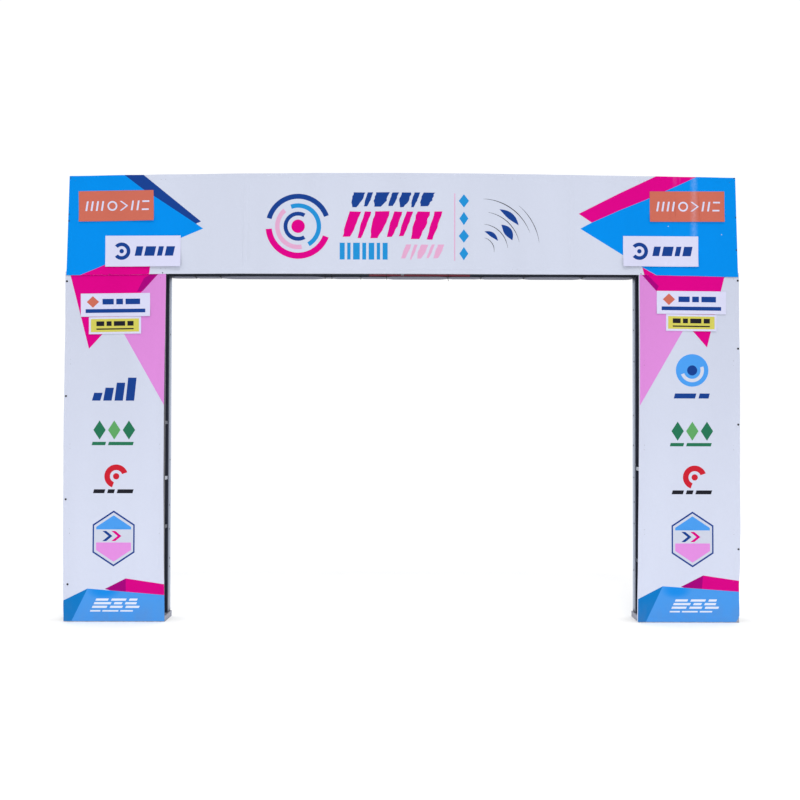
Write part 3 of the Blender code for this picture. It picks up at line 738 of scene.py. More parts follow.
def crease_height(x, z):
    low, high = beam_edges(x)
    share = (z - low) / (high - low)
    total = 0.0
    for row in CREASES:
        crease = dict(zip(CREASE_COLUMNS, row))
        middle = crease["low_x"] + (crease["high_x"] - crease["low_x"]) * share
        distance = abs(x - middle) / crease["half"]
        if distance < 1:
            total += crease["height"] * (1 - distance) ** 2 * smooth_step(0.0, 0.15, share)
    return total


# Where the beam's lower edge starts to curl, and where the curl eases off again
CURL_LEFT = (-2.16, -2.30)
CURL_EASED = (-2.93, -3.0)
CURL_RIGHT = (2.80, 2.90)
CURL_HEIGHT = 0.05


def beam_surface(x, z):
    """How far the beam's cloth stands off: the lap over the legs, waves, creases, the curled lower edge."""
    low, high = beam_edges(x)
    share = (z - low) / (high - low)
    off = BEAM_LIFT * (1 - smooth_step(LAP_TOP, LAP_END, z))
    free = sin(pi * min(max(share, 0.0), 1.0)) * (1 - smooth_step(*BEAM_WAVE_REACH, abs(x)))
    off += BEAM_WAVE * free * (0.5 + 0.5 * sin(2 * pi * x / BEAM_WAVE_LENGTH + BEAM_WAVE_SLANT * share))
    curled = smooth_step(*CURL_LEFT, x) * (1 - smooth_step(*CURL_EASED, x) * 0.5)
    curled += smooth_step(*CURL_RIGHT, x)
    off += CURL * curled * (1 - smooth_step(low, low + CURL_HEIGHT, z))
    from_edge = min(beam_half(z) - abs(x), z - low, high - z)
    off += HEM_STEP * (1 - smooth_step(HEM, HEM + HEM_FADE, from_edge))
    return off + crease_height(x, z)


BEAM_FACETS = (
    ("navy", [(-2.523, 4.0), (-2.349, 4.0), (-1.794, 3.551), (-1.838, 3.531), (-2.212, 3.777), (-2.310, 3.838)]),
    ("magenta", [(-2.93, 3.04), (-2.255, 3.04), (-2.244, 3.153), (-2.652, 3.170)]),
    ("blue", [(-3.02, 4.0), (-2.523, 4.0), (-2.310, 3.838), (-2.212, 3.777), (-1.838, 3.531), (-1.774, 3.488),
              (-1.965, 3.407), (-2.24, 3.291), (-2.639, 3.165), (-2.93, 3.04), (-3.02, 3.04)]),
    ("magenta", [(2.330, 4.0), (2.706, 4.0), (2.358, 3.841), (2.170, 3.757), (1.930, 3.660), (1.684, 3.550),
                 (1.568, 3.628), (1.929, 3.811)]),
    ("blue", [(2.706, 4.0), (3.02, 4.0), (3.02, 3.04), (2.332, 3.04), (2.138, 3.151), (1.582, 3.495), (1.684, 3.550),
              (1.930, 3.660), (2.170, 3.757), (2.358, 3.841)]),
    ("magenta", [(2.162, 3.04), (2.332, 3.04), (2.134, 3.151)]),
)


def brush_row(ink, random, x, z, widths, height, gap, lean):
    """Slanting strokes with ragged sides and worn feet."""
    shapes = []
    steps = 7
    for width in widths:
        drop = random.uniform(-0.10, 0.06) * height
        foot = random.uniform(0.35, 0.75)
        left, right = [], []
        for n in range(steps + 1):
            share = n / steps
            level = z + drop + (height - drop) * share
            middle = x + width / 2 + lean * share
            half = width / 2 * (foot + (1 - foot) * min(1.0, share * 2.2))
            left.append((middle - half * random.uniform(0.86, 1.06), level))
            right.append((middle + half * random.uniform(0.86, 1.06),
                          level + random.uniform(-0.1, 0.1) * height / steps))
        shapes.append((ink, right + left[::-1]))
        x += width + gap
    return shapes


def swoosh(x, z, radius, thick, start, end, steps=18):
    """A curved stroke, thick in its middle and pointed at both ends; angles in degrees."""
    outside, within = [], []
    for n in range(steps + 1):
        angle = radians(start + (end - start) * n / steps)
        half = thick / 2 * sin(pi * n / steps) + 0.0008
        outside.append((x + (radius + half) * cos(angle), z + (radius + half) * sin(angle)))
        within.append((x + (radius - half) * cos(angle), z + (radius - half) * sin(angle)))
    return outside + within[::-1]


def beam_print():
    """Facets at both ends, and between them a wheel of arcs, rows of brushed bars and a spray of curved strokes."""
    random = Random(4)
    shapes = list(BEAM_FACETS)
    wheel_x, wheel_z = -0.930, 3.510
    for ink, inner, outer, start, end in (
        ("navy", 0.245, 0.290, 20, 165),
        ("magenta", 0.235, 0.290, 185, 340),
        ("sky", 0.165, 0.205, -60, 110),
        ("rose", 0.165, 0.205, 130, 280),
        ("navy", 0.095, 0.130, 60, 300),
    ):
        shapes.append((ink, arc_band(wheel_x, wheel_z, inner, outer, start, end)))
    shapes.append(("magenta", disc(wheel_x, wheel_z, 0.060)))
    shapes += brush_row("navy", random, -0.48, 3.690,
                        (0.10, 0.05, 0.12, 0.06, 0.09, 0.05, 0.11), 0.125, 0.024, 0.045)
    shapes += brush_row("magenta", random, -0.55, 3.410,
                        (0.10, 0.06, 0.13, 0.08, 0.06, 0.12, 0.07), 0.235, 0.034, 0.080)
    shapes += row_of_bars("sky", -0.56, 3.215, (0.045, 0.03, 0.06, 0.035, 0.05, 0.03, 0.045), 0.150, 0.022, 0.0)
    shapes += brush_row("rose", random, -0.02, 3.225, (0.05, 0.03, 0.07, 0.03, 0.06), 0.125, 0.026, 0.050)
    shapes.append(("rose", bar(0.459, 3.206, 0.009, 0.602)))
    for n in range(4):
        shapes.append(("sky", diamond(0.545, 3.270 + 0.157 * n, 0.040 + 0.006 * (n % 2), 0.060)))
    burst_x, burst_z = 0.700, 3.30
    for radius, thick, start, end, ink in (
        (0.46, 0.006, 20, 88, "black"), (0.40, 0.055, 34, 66, "navy"), (0.345, 0.005, 12, 80, "black"),
        (0.29, 0.070, 18, 52, "navy"), (0.235, 0.005, 5, 84, "black"), (0.17, 0.040, 30, 80, "navy"),
        (0.115, 0.004, -8, 76, "black"), (0.52, 0.004, 8, 50, "black"),
    ):
        shapes.append((ink, swoosh(burst_x, burst_z, radius, thick, start, end)))
    for speck_x, speck_z in ((2.841, 3.445), (2.365, 3.519), (2.62, 3.290)):
        shapes.append(("white", disc(speck_x, speck_z, 0.004, 7)))
    return shapes


def build_beam_banner():
    columns = 120
    steps = 16
    lower, upper = [], []
    for n in range(columns + 1):
        across = 2 * n / columns - 1
        lower.append((BEAM_LOW_HALF * across, along(BEAM_LOW_EDGE, BEAM_LOW_HALF * across)))
        upper.append((BEAM_TOP_HALF * across, along(BEAM_TOP_EDGE, BEAM_LOW_HALF * across)))
    right = [Vector(lower[-1]).lerp(Vector(upper[-1]), n / steps) for n in range(1, steps)]
    left = [Vector(upper[0]).lerp(Vector(lower[0]), n / steps) for n in range(1, steps)]
    outline = lower + [tuple(p) for p in right] + upper[::-1] + [tuple(p) for p in left]

    def place(x, z, depth):
        return Vector((x, CLOTH_FRONT_Y - beam_surface(x, z) + CLOTH * depth, z))

    lines = []
    for inset in (HEM, HEM + 0.002):
        reach = 1 - inset / BEAM_LOW_HALF
        low = [(x * reach, z + inset) for x, z in lower]
        high = [(x * reach, z - inset) for x, z in upper]
        lines.append(low + high[::-1] + low[:1])
    for height in (LAP_TOP, (LAP_TOP + LAP_END) / 2, LAP_END):
        reach = beam_half(height) - 0.001
        lines.append([(-reach, height), (reach, height)])
    for row in CREASES:
        crease = dict(zip(CREASE_COLUMNS, row))
        for share in CREASE_LINES:
            shift = share * crease["half"]
            low_x, high_x = crease["low_x"] + shift, crease["high_x"] + shift
            lines.append([(low_x, beam_edges(low_x)[0] + 0.001), (high_x, beam_edges(high_x)[1] - 0.001)])
    name = "beam_front_print"
    piece = printed_sheet(name, outline, beam_print(), place, 0.045, "white", lines=lines)
    height = upper[columns // 2][1] - lower[0][1]
    area = area_of(outline)
    finish_sheet(piece, "beam_front_banner", (2 * BEAM_LOW_HALF, height),
                 area=area)


# Patches

PATCH_COLUMNS = ("name", "x", "z", "width", "height", "tilt", "low_left", "low_right", "top_left", "top_right")
PATCHES = (
    ("patch_beam_orange_left", -2.547, 3.688, 0.665, 0.271, 1.2, 0.003, 0.006, 0.0, 0.001),
    ("patch_beam_white_left", -2.307, 3.285, 0.669, 0.276, 0.3, 0.004, 0.022, 0.0, 0.003),
    ("patch_beam_orange_right", 2.533, 3.694, 0.665, 0.272, 0.1, 0.007, 0.003, 0.002, 0.0),
    ("patch_beam_white_right", 2.297, 3.294, 0.669, 0.271, -0.2, 0.013, 0.004, 0.002, 0.0),
    ("patch_leg_white_left", -2.549, 2.806, 0.614, 0.206, 0.8, 0.002, 0.005, 0.001, 0.0),
    ("patch_leg_yellow_left", -2.552, 2.624, 0.462, 0.153, 1.0, 0.004, 0.002, 0.0, 0.0),
    ("patch_leg_white_right", 2.570, 2.838, 0.616, 0.204, -0.5, 0.004, 0.003, 0.0, 0.001),
    ("patch_leg_yellow_right", 2.569, 2.659, 0.449, 0.149, -0.7, 0.002, 0.005, 0.0, 0.0),
)
PATCH_SWELL = {"beam": 0.0095, "leg": 0.0040}


def patch_print(kind, width, height):
    """Plain bars and dots about the patch's own middle."""
    if kind == "beam_orange":
        shapes = row_of_bars("patch_white", -0.275, -0.042, (0.016,) * 4, 0.086, 0.030, 0.014)
        shapes.append(("patch_white", arc_band(-0.035, 0.0, 0.030, 0.044, 0, 359)))
        shapes.append(("patch_white", chevron(0.030, -0.043, 0.075, 0.086, 0.018)))
        shapes += row_of_bars("patch_white", 0.128, -0.042, (0.016, 0.016), 0.086, 0.034, 0.014)
        return shapes + [("patch_white", bar(x, z, 0.062, 0.014)) for x, z in ((0.226, -0.042), (0.232, 0.030))]
    if kind == "beam_white":
        shapes = [("navy", arc_band(-0.19, 0.0, 0.045, 0.078, -140, 140, 18)),
                  ("navy", disc(-0.19, 0.0, 0.020, 16))]
        return shapes + row_of_bars("navy", -0.075, -0.042, (0.06, 0.09, 0.045, 0.075), 0.085, 0.024, 0.018)
    if kind == "leg_white":
        shapes = [("orange", diamond(-0.20, 0.028, 0.055, 0.052))]
        shapes += row_of_bars("navy", -0.115, 0.004, (0.10, 0.06, 0.13), 0.050, 0.022, 0.0)
        return shapes + [("navy", bar(-0.265, -0.070, 0.53, 0.034))]
    border = 0.018
    shapes = [("yellow", bar(-width / 2 + border, -height / 2 + border, width - 2 * border, height - 2 * border))]
    shapes += row_of_bars("black", -0.165, -0.005, (0.07, 0.045, 0.10, 0.055), 0.042, 0.020, 0.0)
    return shapes + [("black", bar(-0.165, -0.038, 0.33, 0.012))]


def build_patch(row):
    patch = dict(zip(PATCH_COLUMNS, row))
    width, height, tilt = patch["width"], patch["height"], radians(patch["tilt"])
    kind = "_".join(patch["name"].split("_")[1:3])
    on_beam = kind.startswith("beam")
    side = patch["name"].split("_")[3]

    def place(u, v, depth):
        x = patch["x"] + u * cos(tilt) - v * sin(tilt)
        z = patch["z"] + u * sin(tilt) + v * cos(tilt)
        across, up = u / width + 0.5, v / height + 0.5
        lift = 0.0
        for corner, aside, level in (("low_left", 1 - across, 1 - up), ("low_right", across, 1 - up),
                                     ("top_left", 1 - across, up), ("top_right", across, up)):
            lift += patch[corner] * aside ** 3 * level ** 3
        swell = 0.72 + 0.28 * sin(5.0 * across + 9.0 * patch["x"])
        lift += PATCH_SWELL["beam" if on_beam else "leg"] * swell * (1 - up) ** 4
        lift += beam_surface(x, z) if on_beam else leg_surface(side, x, z)
        return Vector((x, CLOTH_FRONT_Y - CLEAR - PATCH_CLOTH - lift + PATCH_CLOTH * depth, z))

    steps = 12
    half_w, half_h = width / 2, height / 2
    across = [-half_w + width * n / steps for n in range(steps)]
    up = [-half_h + height * n / steps for n in range(steps)]
    outline = [(u, -half_h) for u in across] + [(half_w, v) for v in up]
    outline += [(-u, half_h) for u in across] + [(-half_w, -v) for v in up]
    lines = []
    for crease_row in CREASES:
        crease = dict(zip(CREASE_COLUMNS, crease_row))
        for share in CREASE_LINES:
            ends = []
            for z in (patch["z"] - half_h, patch["z"] + half_h):
                low, high = beam_edges(patch["x"])
                rise = (z - low) / (high - low)
                x = crease["low_x"] + (crease["high_x"] - crease["low_x"]) * rise + share * crease["half"]
                ends.append((x - patch["x"], z - patch["z"]))
            if on_beam and all(abs(u) < half_w - 0.01 for u, _ in ends):
                lines.append(ends)
    base = {"beam_orange": "orange"}.get(kind, "patch_white")
    name = patch["name"] + "_print"
    piece = printed_sheet(name, outline, patch_print(kind, width, height), place, 0.022, base, lines=lines,
                          reverse=ink_materials["patch_white"])
    finish_sheet(piece, patch["name"], (width, height))


# Plain cloth on the back

REAR_BOTTOM = 0.056
LEG_REAR_TOP = SEAM - 0.0115
LEG_REAR_BELLY = 0.006
LEG_REAR_WAVE_LENGTH = 0.9
LEG_REAR_WAVE_SLANT = 2.5
FLAP_EDGE_Y = DEEP_TUBE_FRONT_Y + 0.002
FOLD_RADIUS = 0.004
FOLD_ARC = [(FOLD_RADIUS * (1 - cos(a)), FOLD_RADIUS * (1 - sin(a))) for a in (pi / 8, pi / 4, 3 * pi / 8)]


def swept_cloth(name, path, rows, place):
    """A sheet over rows of points; place gives the point for a path position and a row number."""
    body = bmesh.new()
    grid = [[body.verts.new(place(position, row)) for position in path] for row in range(rows + 1)]
    for lower, upper in zip(grid, grid[1:]):
        for n in range(len(path) - 1):
            body.faces.new((lower[n], upper[n], upper[n + 1], lower[n + 1]))
    for face in body.faces:
        face.smooth = True
    mesh = mesh_from(body, name)
    mesh.materials.append(plain_cloth)
    mesh.materials.append(reverse_cloth)
    piece = into_scene(name, mesh)
    cloth = piece.modifiers.new("cloth", "SOLIDIFY")
    cloth.thickness = CLOTH
    cloth.offset = 1.0
    cloth.use_even_offset = True
    cloth.material_offset = 1
    return piece


def rear_section():
    """Points round a leg's back, from the inner flap's edge to the outer flap's, as (x, y)."""
    inner, outer = STEEL_INNER_X - CLEAR, STEEL_OUTER_X + CLEAR
    back = STEEL_HALF_DEPTH + CLEAR
    flap = [FLAP_EDGE_Y + (back - FOLD_RADIUS - FLAP_EDGE_Y) * n / 5 for n in range(6)]
    section = [(inner, y) for y in flap]
    section += [(inner + across, back - inward) for across, inward in FOLD_ARC]
    first, last = inner + FOLD_RADIUS, outer - FOLD_RADIUS
    section += [(first + (last - first) * n / 24, back) for n in range(25)]
    section += [(outer - inward, back - across) for across, inward in FOLD_ARC]
    return section + [(outer, y) for y in reversed(flap)]


def build_leg_rear(side):
    t = TURN[side]
    section = rear_section()
    rows = 60

    def place(point, row):
        x, y = point
        z = REAR_BOTTOM + (LEG_REAR_TOP - REAR_BOTTOM) * row / rows
        across = (x - STEEL_INNER_X) / (STEEL_OUTER_X - STEEL_INNER_X)
        held = sin(pi * min(max(across, 0.0), 1.0)) * sin(pi * row / rows)
        swing = 0.5 + 0.5 * sin(2 * pi * z / LEG_REAR_WAVE_LENGTH + LEG_REAR_WAVE_SLANT * across)
        ripple = 0.0012 * sin(23 * x + 5 * z) * sin(9 * z) * held
        on_back = y > STEEL_HALF_DEPTH - FOLD_RADIUS
        belly = (LEG_REAR_BELLY * held * swing + ripple) if on_back else 0.0
        return Vector((t * x, y + max(belly, 0.0), z))

    piece = swept_cloth(f"leg_{side}_rear_cloth", section, rows, place)
    if side == "left":
        piece.data.flip_normals()
    width = sum((Vector(b) - Vector(a)).length for a, b in zip(section, section[1:]))
    length = LEG_REAR_TOP - REAR_BOTTOM
    finish_sheet(piece, f"leg_{side}_rear_banner", (width, length))


DRAPE = 0.0020
FLAP_DROP = 0.008
STAND_UP = 0.002
BEAM_REAR_BELLY = 0.0140
BEAM_REAR_WAVE_LENGTH = 1.3
FLAP_END_X = STEEL_INNER_X - 0.010
FOLD_SAG = 0.0075
EDGE_RISE = 0.0045
FREE_SPAN = 0.60
TIE_STATIONS = (-1.873, -1.648, -0.701, -0.641, -0.377, -0.146, 0.414, 0.713, 1.101, 1.633)
TIE_SLIT_Y = 0.120
SLIT_HALF_LENGTH = 0.0035
SLIT_HALF_WIDTH = 0.0016


def flap_shift(x, inward):
    """How far the flap stands above its level at the ties; inward is 0 at the fold and 1 at the free edge."""
    held_at = (-FLAP_END_X, *TIE_STATIONS, FLAP_END_X)
    for start, end in zip(held_at, held_at[1:]):
        if start <= x <= end:
            free = min(1.0, (end - start) / FREE_SPAN) * min(1.0, 3.0 * sin(pi * (x - start) / (end - start)))
            return free * (EDGE_RISE * inward - FOLD_SAG * (1 - inward))
    return 0.0


def build_beam_rear():
    """The beam's back and the flap under its chord, in one sheet: the flap ends at the legs."""
    back = STEEL_HALF_DEPTH + DRAPE
    under = SEAM - FLAP_DROP
    back_rows = 22
    slit = (TIE_SLIT_Y - SLIT_HALF_WIDTH, TIE_SLIT_Y + SLIT_HALF_WIDTH)
    flap_ys = [FLAP_EDGE_Y + (slit[0] - FLAP_EDGE_Y) * n / 5 for n in range(5)]
    flap_ys += [*slit, 0.132, back - FOLD_RADIUS]
    rows = [(y, 0.0) for y in flap_ys]
    rows += [(back - inward, rise) for rise, inward in FOLD_ARC]
    rows += [(back, FOLD_RADIUS)] * (back_rows + 1)
    fold_row = len(rows) - back_rows - 1
    middle = [FLAP_END_X * (2 * n / 100 - 1) for n in range(101)]
    middle = [x for x in middle if all(abs(x - tie) > 0.012 for tie in TIE_STATIONS)]
    for tie in TIE_STATIONS:
        middle += [tie - SLIT_HALF_LENGTH, tie + SLIT_HALF_LENGTH]
    ends = [BEAM_TOP_HALF - (BEAM_TOP_HALF - FLAP_END_X) * n / 20 for n in range(20)]
    columns = [-x for x in ends] + sorted(middle) + ends[::-1]

    def place(x, row):
        y, rise = rows[row]
        if row < fold_row:
            inward = max(0.0, (back - y) / (back - FLAP_EDGE_Y))
            return Vector((x, y, under + rise + flap_shift(x, inward)))
        top = along(STEEL_CROWN, x, smooth=False) + STAND_UP
        share = (row - fold_row) / back_rows
        z = under + FOLD_RADIUS + (top - under - FOLD_RADIUS) * share + flap_shift(x, 0.0) * (1 - share) ** 4
        held = sin(pi * share) * cos(pi * x / (2 * BEAM_TOP_HALF))
        swing = 0.5 + 0.5 * cos(2 * pi * x / BEAM_REAR_WAVE_LENGTH)
        ripple = 0.0015 * (0.5 + 0.5 * sin(17 * x + 4 * z)) * held
        return Vector((x, back + BEAM_REAR_BELLY * held * swing + ripple, z))

    piece = swept_cloth("beam_rear_cloth", columns, len(rows) - 1, place)
    body = bmesh.new()
    body.from_mesh(piece.data)
    cut_away = []
    for face in body.faces:
        centre = face.calc_center_median()
        folded = centre.y < back - FOLD_RADIUS * 0.05 and centre.z < under + FOLD_RADIUS
        over_leg = abs(centre.x) > FLAP_END_X and folded
        in_slit = slit[0] < centre.y < slit[1] and any(abs(centre.x - tie) < 0.001 for tie in TIE_STATIONS)
        if over_leg or (in_slit and centre.z < under + 0.001):
            cut_away.append(face)
    bmesh.ops.delete(body, geom=cut_away, context="FACES")
    body.to_mesh(piece.data)
    body.free()
    height = STEEL_CROWN[3][1] + STAND_UP - under
    flap = back - FLAP_EDGE_Y
    area = 2 * BEAM_TOP_HALF * (height - 0.012) + 2 * FLAP_END_X * flap
    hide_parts("beam_rear_flap")
    finish_sheet(piece, "beam_rear_banner", (2 * BEAM_TOP_HALF, height + flap),
                 area=area)


# Small pieces

def turned_mesh(name, profile, steps):
    """A solid turned about +Z from (radius, height) points, from its top down its outer side."""
    body = bmesh.new()
    chain = [body.verts.new((x, 0, z)) for x, z in profile]
    edges = [body.edges.new(pair) for pair in zip(chain, chain[1:])]
    bmesh.ops.spin(body, geom=chain + edges, axis=(0, 0, 1), cent=(0, 0, 0), angle=2 * pi,
                   steps=steps, use_merge=True)
    bmesh.ops.remove_doubles(body, verts=body.verts, dist=0.00002)
    bmesh.ops.recalc_face_normals(body, faces=body.faces)
    return mesh_from(body, name, sharp=38)


def screw_profile(washer, washer_thick, head, head_height):
    """A pan head on a dished washer with a rounded rim."""
    rim = washer_thick * 0.35
    top = washer_thick
    socket = head * 0.42
    return [
        (0.0, top + head_height * 0.45),
        (socket, top + head_height * 0.45),
        (socket, top + head_height * 0.94),
        (head * 0.62, top + head_height),
        (head * 0.88, top + head_height * 0.72),
        (head, top + head_height * 0.30),
        (head, top),
        (washer - rim, washer_thick * 0.9),
        (washer, washer_thick - rim),
        (washer, 0.0),
        (0.0, 0.0),
    ]


def small_piece(name, mesh, material, matrix, node=None):
    piece = into_scene(name, mesh)
    if not mesh.materials:
        mesh.materials.append(material)
    piece.matrix_world = matrix
    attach(piece, "root")
    if node:
        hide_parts(node)
    return piece


FACING_FRONT = Matrix.Rotation(pi / 2, 4, "X")


def build_banner_screws():
    mesh = turned_mesh("banner_screw_fine", screw_profile(0.009, 0.0015, 0.0055, 0.003), 28)
    for side in SIDES:
        for number, (height, x) in enumerate(SCREWS[side], 1):
            seat = Vector((TURN[side] * x, CLOTH_FRONT_Y - CLEAR, height))
            seat.y -= leg_surface(side, seat.x, height)
            matrix = Matrix.Translation(seat) @ FACING_FRONT
            small_piece(f"banner_screw_{side}_{number}_fine", mesh, blackened, matrix,
                        f"banner_screw_{side}_{number}")


REAR_FLAP_SCREWS = {
    "left": (0.457, 0.533, 0.797, 1.014, 1.423, 2.562),
    "right": (0.430, 0.853, 1.048, 1.270, 1.561, 1.834, 2.322, 2.609, 2.796),
}
OUTER_FLAP_SCREWS = (0.30, 0.95, 1.60, 2.25, 2.90)
FLAP_SCREW_Y = 0.085


def build_flap_screws():
    mesh = turned_mesh("flap_screw_fine", screw_profile(0.0075, 0.0012, 0.0045, 0.0025), 20)
    for side in SIDES:
        t = TURN[side]
        inward = Matrix.Rotation(-t * pi / 2, 4, "Y")
        outward = Matrix.Rotation(t * pi / 2, 4, "Y")
        inner_x = STEEL_INNER_X - CLEAR - CLOTH - CLEAR
        outer_x = STEEL_OUTER_X + CLEAR + CLOTH + CLEAR
        for number, height in enumerate(REAR_FLAP_SCREWS[side], 1):
            wander = 0.012 * sin(5.0 * height)
            seat = Matrix.Translation((t * inner_x, FLAP_SCREW_Y + wander, height))
            small_piece(f"flap_screw_{side}_inner_{number}", mesh, blackened, seat @ inward)
        for number, height in enumerate(OUTER_FLAP_SCREWS, 1):
            seat = Matrix.Translation((t * outer_x, FLAP_SCREW_Y, height))
            small_piece(f"flap_screw_{side}_outer_{number}", mesh, blackened, seat @ outward)


# Small fixings on the printed side of the beam: x, z, radius
FIXING_COLUMNS = ("x", "z", "radius")
FIXINGS = (
    (-2.966, 3.553, 0.0065), (-2.965, 3.612, 0.0050), (2.968, 3.600, 0.0055), (2.972, 3.308, 0.0060),
    (-2.953, 3.935, 0.0045), (2.954, 3.948, 0.0055), (-2.132, 3.092, 0.0055), (-2.600, 3.078, 0.0040),
    (2.122, 3.094, 0.0045),
)


def build_fixings():
    for number, row in enumerate(FIXINGS, 1):
        fixing = dict(zip(FIXING_COLUMNS, row))
        radius = fixing["radius"]
        profile = screw_profile(radius, radius * 0.2, radius * 0.62, radius * 0.4)
        mesh = turned_mesh(f"fixing_{number}_mesh", profile, 16)
        y = CLOTH_FRONT_Y - CLEAR - beam_surface(fixing["x"], fixing["z"])
        matrix = Matrix.Translation((fixing["x"], y, fixing["z"])) @ FACING_FRONT
        small_piece(f"beam_fixing_{number}", mesh, blackened, matrix)


TIE_TAILS = {7: (0.026, 0.35), 5: (0.012, -0.5), 6: (0.016, 0.9), 2: (0.008, 0.2), 9: (0.009, -0.3)}
TIE_HALF_WIDTH = 0.0025


def box_on(body, low, high, bevel=0.0):
    """Adds a box, its edges rounded by bevel, to a bmesh."""
    made = bmesh.ops.create_cube(body, size=1.0)["verts"]
    low, high = Vector(low), Vector(high)
    bmesh.ops.scale(body, vec=high - low, verts=made)
    bmesh.ops.translate(body, vec=(low + high) / 2, verts=made)
    if bevel:
        edges = list({edge for vert in made for edge in vert.link_edges})
        bmesh.ops.bevel(body, geom=edges, offset=bevel, segments=2, affect="EDGES", profile=0.7)


# Half width, half length and height of a tie's head; the heads sit at one of three places round their loops
TIE_HEAD = (0.0040, 0.0045, 0.0048)
TIE_HEAD_Y = 0.062
TIE_HEAD_STEP = 0.01


def build_tie_heads():
    """The locking head of each tie under the flap, and the tail that is left standing on some."""
    under = SEAM - FLAP_DROP - CLOTH - 0.0004 - 0.0012 - CLEAR
    for number, x in enumerate(TIE_STATIONS, 1):
        body = bmesh.new()
        y = TIE_HEAD_Y + TIE_HEAD_STEP * (number % 3)
        across, along_y, tall = TIE_HEAD
        box_on(body, (x - across, y - along_y, under - tall), (x + across, y + along_y, under), 0.0008)
        length, lean = TIE_TAILS.get(number, (0.010, 0.1))
        steps = 8
        points = []
        for n in range(steps + 1):
            share = n / steps
            drop = length * share
            drift = length * 0.5 * sin(lean) * share * share
            ahead = along_y + 0.006 * sin(pi * share / 2)
            points.append(Vector((x + drift, y - ahead, under - tall / 2 - drop)))
        rings = []
        for point in points:
            corners = [(-TIE_HALF_WIDTH * 0.9, -0.0005), (TIE_HALF_WIDTH * 0.9, -0.0005),
                       (TIE_HALF_WIDTH * 0.9, 0.0005), (-TIE_HALF_WIDTH * 0.9, 0.0005)]
            rings.append([body.verts.new(point + Vector((dx, dy, 0))) for dx, dy in corners])
        for lower, upper in zip(rings, rings[1:]):
            for n in range(4):
                body.faces.new((lower[n], lower[(n + 1) % 4], upper[(n + 1) % 4], upper[n]))
        body.faces.new(rings[0][::-1])
        body.faces.new(rings[-1])
        bmesh.ops.recalc_face_normals(body, faces=body.faces)
        mesh = mesh_from(body, f"tie_head_{number}", sharp=40)
        small_piece(f"cable_tie_head_{number}", mesh, tie_plastic, Matrix.Identity(4))


# Weld beads

LEG_RUNG_HEIGHTS = (0.0703, 0.800, 1.550, 2.300, 3.0697)
BEAM_STATIONS = (-2.934, -2.130, -1.000, 0.000, 1.000, 2.130, 2.934)
BEAM_STEEL_HALF = 2.954
TUBE = 0.040
BEAD = 0.0032


def bead_line(body, start, end, random):
    """A run of small overlapping drops from one point to another."""
    start, end = Vector(start), Vector(end)
    count = max(3, round((end - start).length / 0.0045))
    for n in range(count + 1):
        place = start.lerp(end, n / count)
        size = BEAD * random.uniform(0.85, 1.15)
        matrix = Matrix.Translation(place) @ Matrix.Diagonal((size, size, size, 1.0))
        bmesh.ops.create_icosphere(body, subdivisions=1, radius=1.0, matrix=matrix)


def finish_beads(body, name):
    for face in body.faces:
        face.smooth = True
    small_piece(name, mesh_from(body, name), weld_metal, Matrix.Identity(4))


def build_welds():
    """Beads where rungs meet uprights, on the faces of each ladder that look into the frame."""
    random = Random(11)
    half = TUBE / 2
    front_y = -STEEL_HALF_DEPTH + TUBE
    rear_y = STEEL_HALF_DEPTH - TUBE
    for side in SIDES:
        t = TURN[side]
        body = bmesh.new()
        for height in LEG_RUNG_HEIGHTS:
            for x in (STEEL_INNER_X + TUBE, STEEL_OUTER_X - TUBE):
                bead_line(body, (t * x, front_y, height - half), (t * x, front_y, height + half), random)
                for z in (height - half, height + half):
                    if 0.1 < z < 3.06:
                        bead_line(body, (t * x, front_y - TUBE, z), (t * x, front_y, z), random)
                        bead_line(body, (t * x, rear_y, z), (t * x, rear_y + TUBE, z), random)
        finish_beads(body, f"leg_{side}_welds")
    body = bmesh.new()
    for x in BEAM_STATIONS:
        levels = (SEAM + TUBE, along(STEEL_CROWN, x, smooth=False) - TUBE)
        for z in levels:
            bead_line(body, (x - half, front_y, z), (x + half, front_y, z), random)
            bead_line(body, (x - half, rear_y, z), (x + half, rear_y, z), random)
        for edge in (x - half, x + half):
            if abs(edge) < BEAM_STEEL_HALF - 0.001:
                for z in levels:
                    bead_line(body, (edge, front_y - TUBE, z), (edge, front_y, z), random)
                    bead_line(body, (edge, rear_y, z), (edge, rear_y + TUBE, z), random)
    finish_beads(body, "beam_welds")


# Finishes of the frame's own pieces

BRIGHT_STRUTS = ("strut_leg_left_inner_2", "strut_leg_right_inner_2")


def dress_frame():
    for name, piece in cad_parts.items():
        if name in BRIGHT_STRUTS:
            finish = light_zinc
        elif name.startswith("strut_"):
            finish = dull_zinc
        elif name.startswith("foot_"):
            finish = rail_zinc
        elif name == "beam_rear_frame":
            finish = chord_steel
        elif name.endswith("_frame"):
            finish = black_steel
        elif name.startswith("cable_tie"):
            finish = tie_plastic
        else:
            continue
        for slot in piece.material_slots:
            slot.material = finish


# Floor, light and camera

FLOOR_HALF = 60.0
FLOOR_DROP = 0.0005
WORLD_STRENGTH = 1.05
VIEW_DEPTH = 300.0


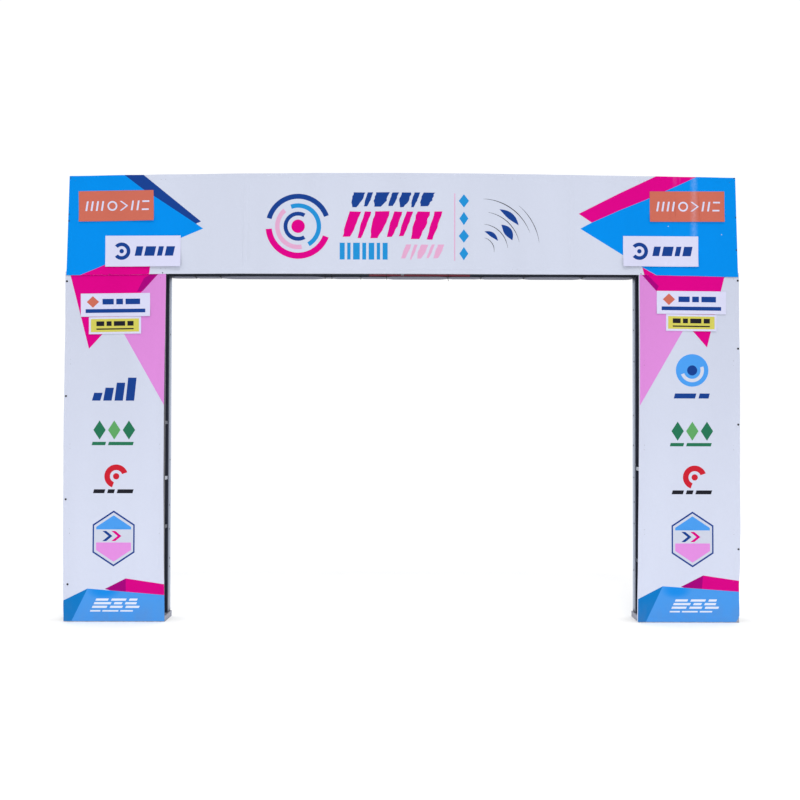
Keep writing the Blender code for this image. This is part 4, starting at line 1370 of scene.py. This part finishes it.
def build_stage():
    body = bmesh.new()
    bmesh.ops.create_grid(body, x_segments=2, y_segments=2, size=FLOOR_HALF)
    floor = into_scene("floor", mesh_from(body, "floor"))
    floor.location.z = -FLOOR_DROP
    pale = Finish("floor_pale", 0.9)
    grain = pale.noise(3.0, detail=5.0)
    pale.link("Base Color", pale.mix(grain, (0.96, 0.96, 0.96, 1), (0.98, 0.98, 0.98, 1)))
    floor.data.materials.append(pale.material)


def area_light(name, place, target, size, power):
    light = bpy.data.lights.new(name, "AREA")
    light.shape = "RECTANGLE"
    light.size, light.size_y = size
    light.energy = power
    lamp = into_scene(name, light)
    lamp.location = place
    lamp.rotation_euler = (Vector(target) - Vector(place)).to_track_quat("-Z", "Y").to_euler()


def build_light():
    scene = bpy.context.scene
    world = bpy.data.worlds.new("studio")
    scene.world = world
    world.use_nodes = True
    background = world.node_tree.nodes["Background"]
    background.inputs["Color"].default_value = (1.0, 1.0, 1.0, 1.0)
    background.inputs["Strength"].default_value = WORLD_STRENGTH
    area_light("key", (2.0, -17.0, 24.0), (0.0, 0.0, 2.0), (9.0, 6.0), 1950.0)
    area_light("fill", (0.0, -6.0, 0.25), (0.0, 0.0, 0.6), (8.0, 0.4), 70.0)
    scene.view_settings.view_transform = "Standard"


CAMERA_PLACE = (-0.051, -9.694, 1.8174)
CAMERA_PAN = 0.0032
CAMERA_TILT = 0.0156
CAMERA_ROLL = 0.0021
FOCAL_PIXELS = 1075.53
IMAGE_PIXELS = 800
SENSOR = 36.0


def build_camera():
    camera = bpy.data.cameras.new("camera")
    camera.sensor_width = SENSOR
    camera.lens = FOCAL_PIXELS / IMAGE_PIXELS * SENSOR
    camera.clip_end = VIEW_DEPTH
    eye = into_scene("camera", camera)
    turn = Matrix.Rotation(-CAMERA_PAN, 4, "Z") @ Matrix.Rotation(pi / 2 + CAMERA_TILT, 4, "X")
    eye.matrix_world = Matrix.Translation(CAMERA_PLACE) @ turn @ Matrix.Rotation(CAMERA_ROLL, 4, "Z")
    bpy.context.scene.camera = eye


dress_frame()
build_beam_banner()
for leg in SIDES:
    build_leg_banner(leg)
    build_leg_rear(leg)
build_beam_rear()
for patch_row in PATCHES:
    build_patch(patch_row)
build_banner_screws()
build_flap_screws()
build_fixings()
build_tie_heads()
build_welds()
build_stage()
build_light()
build_camera()
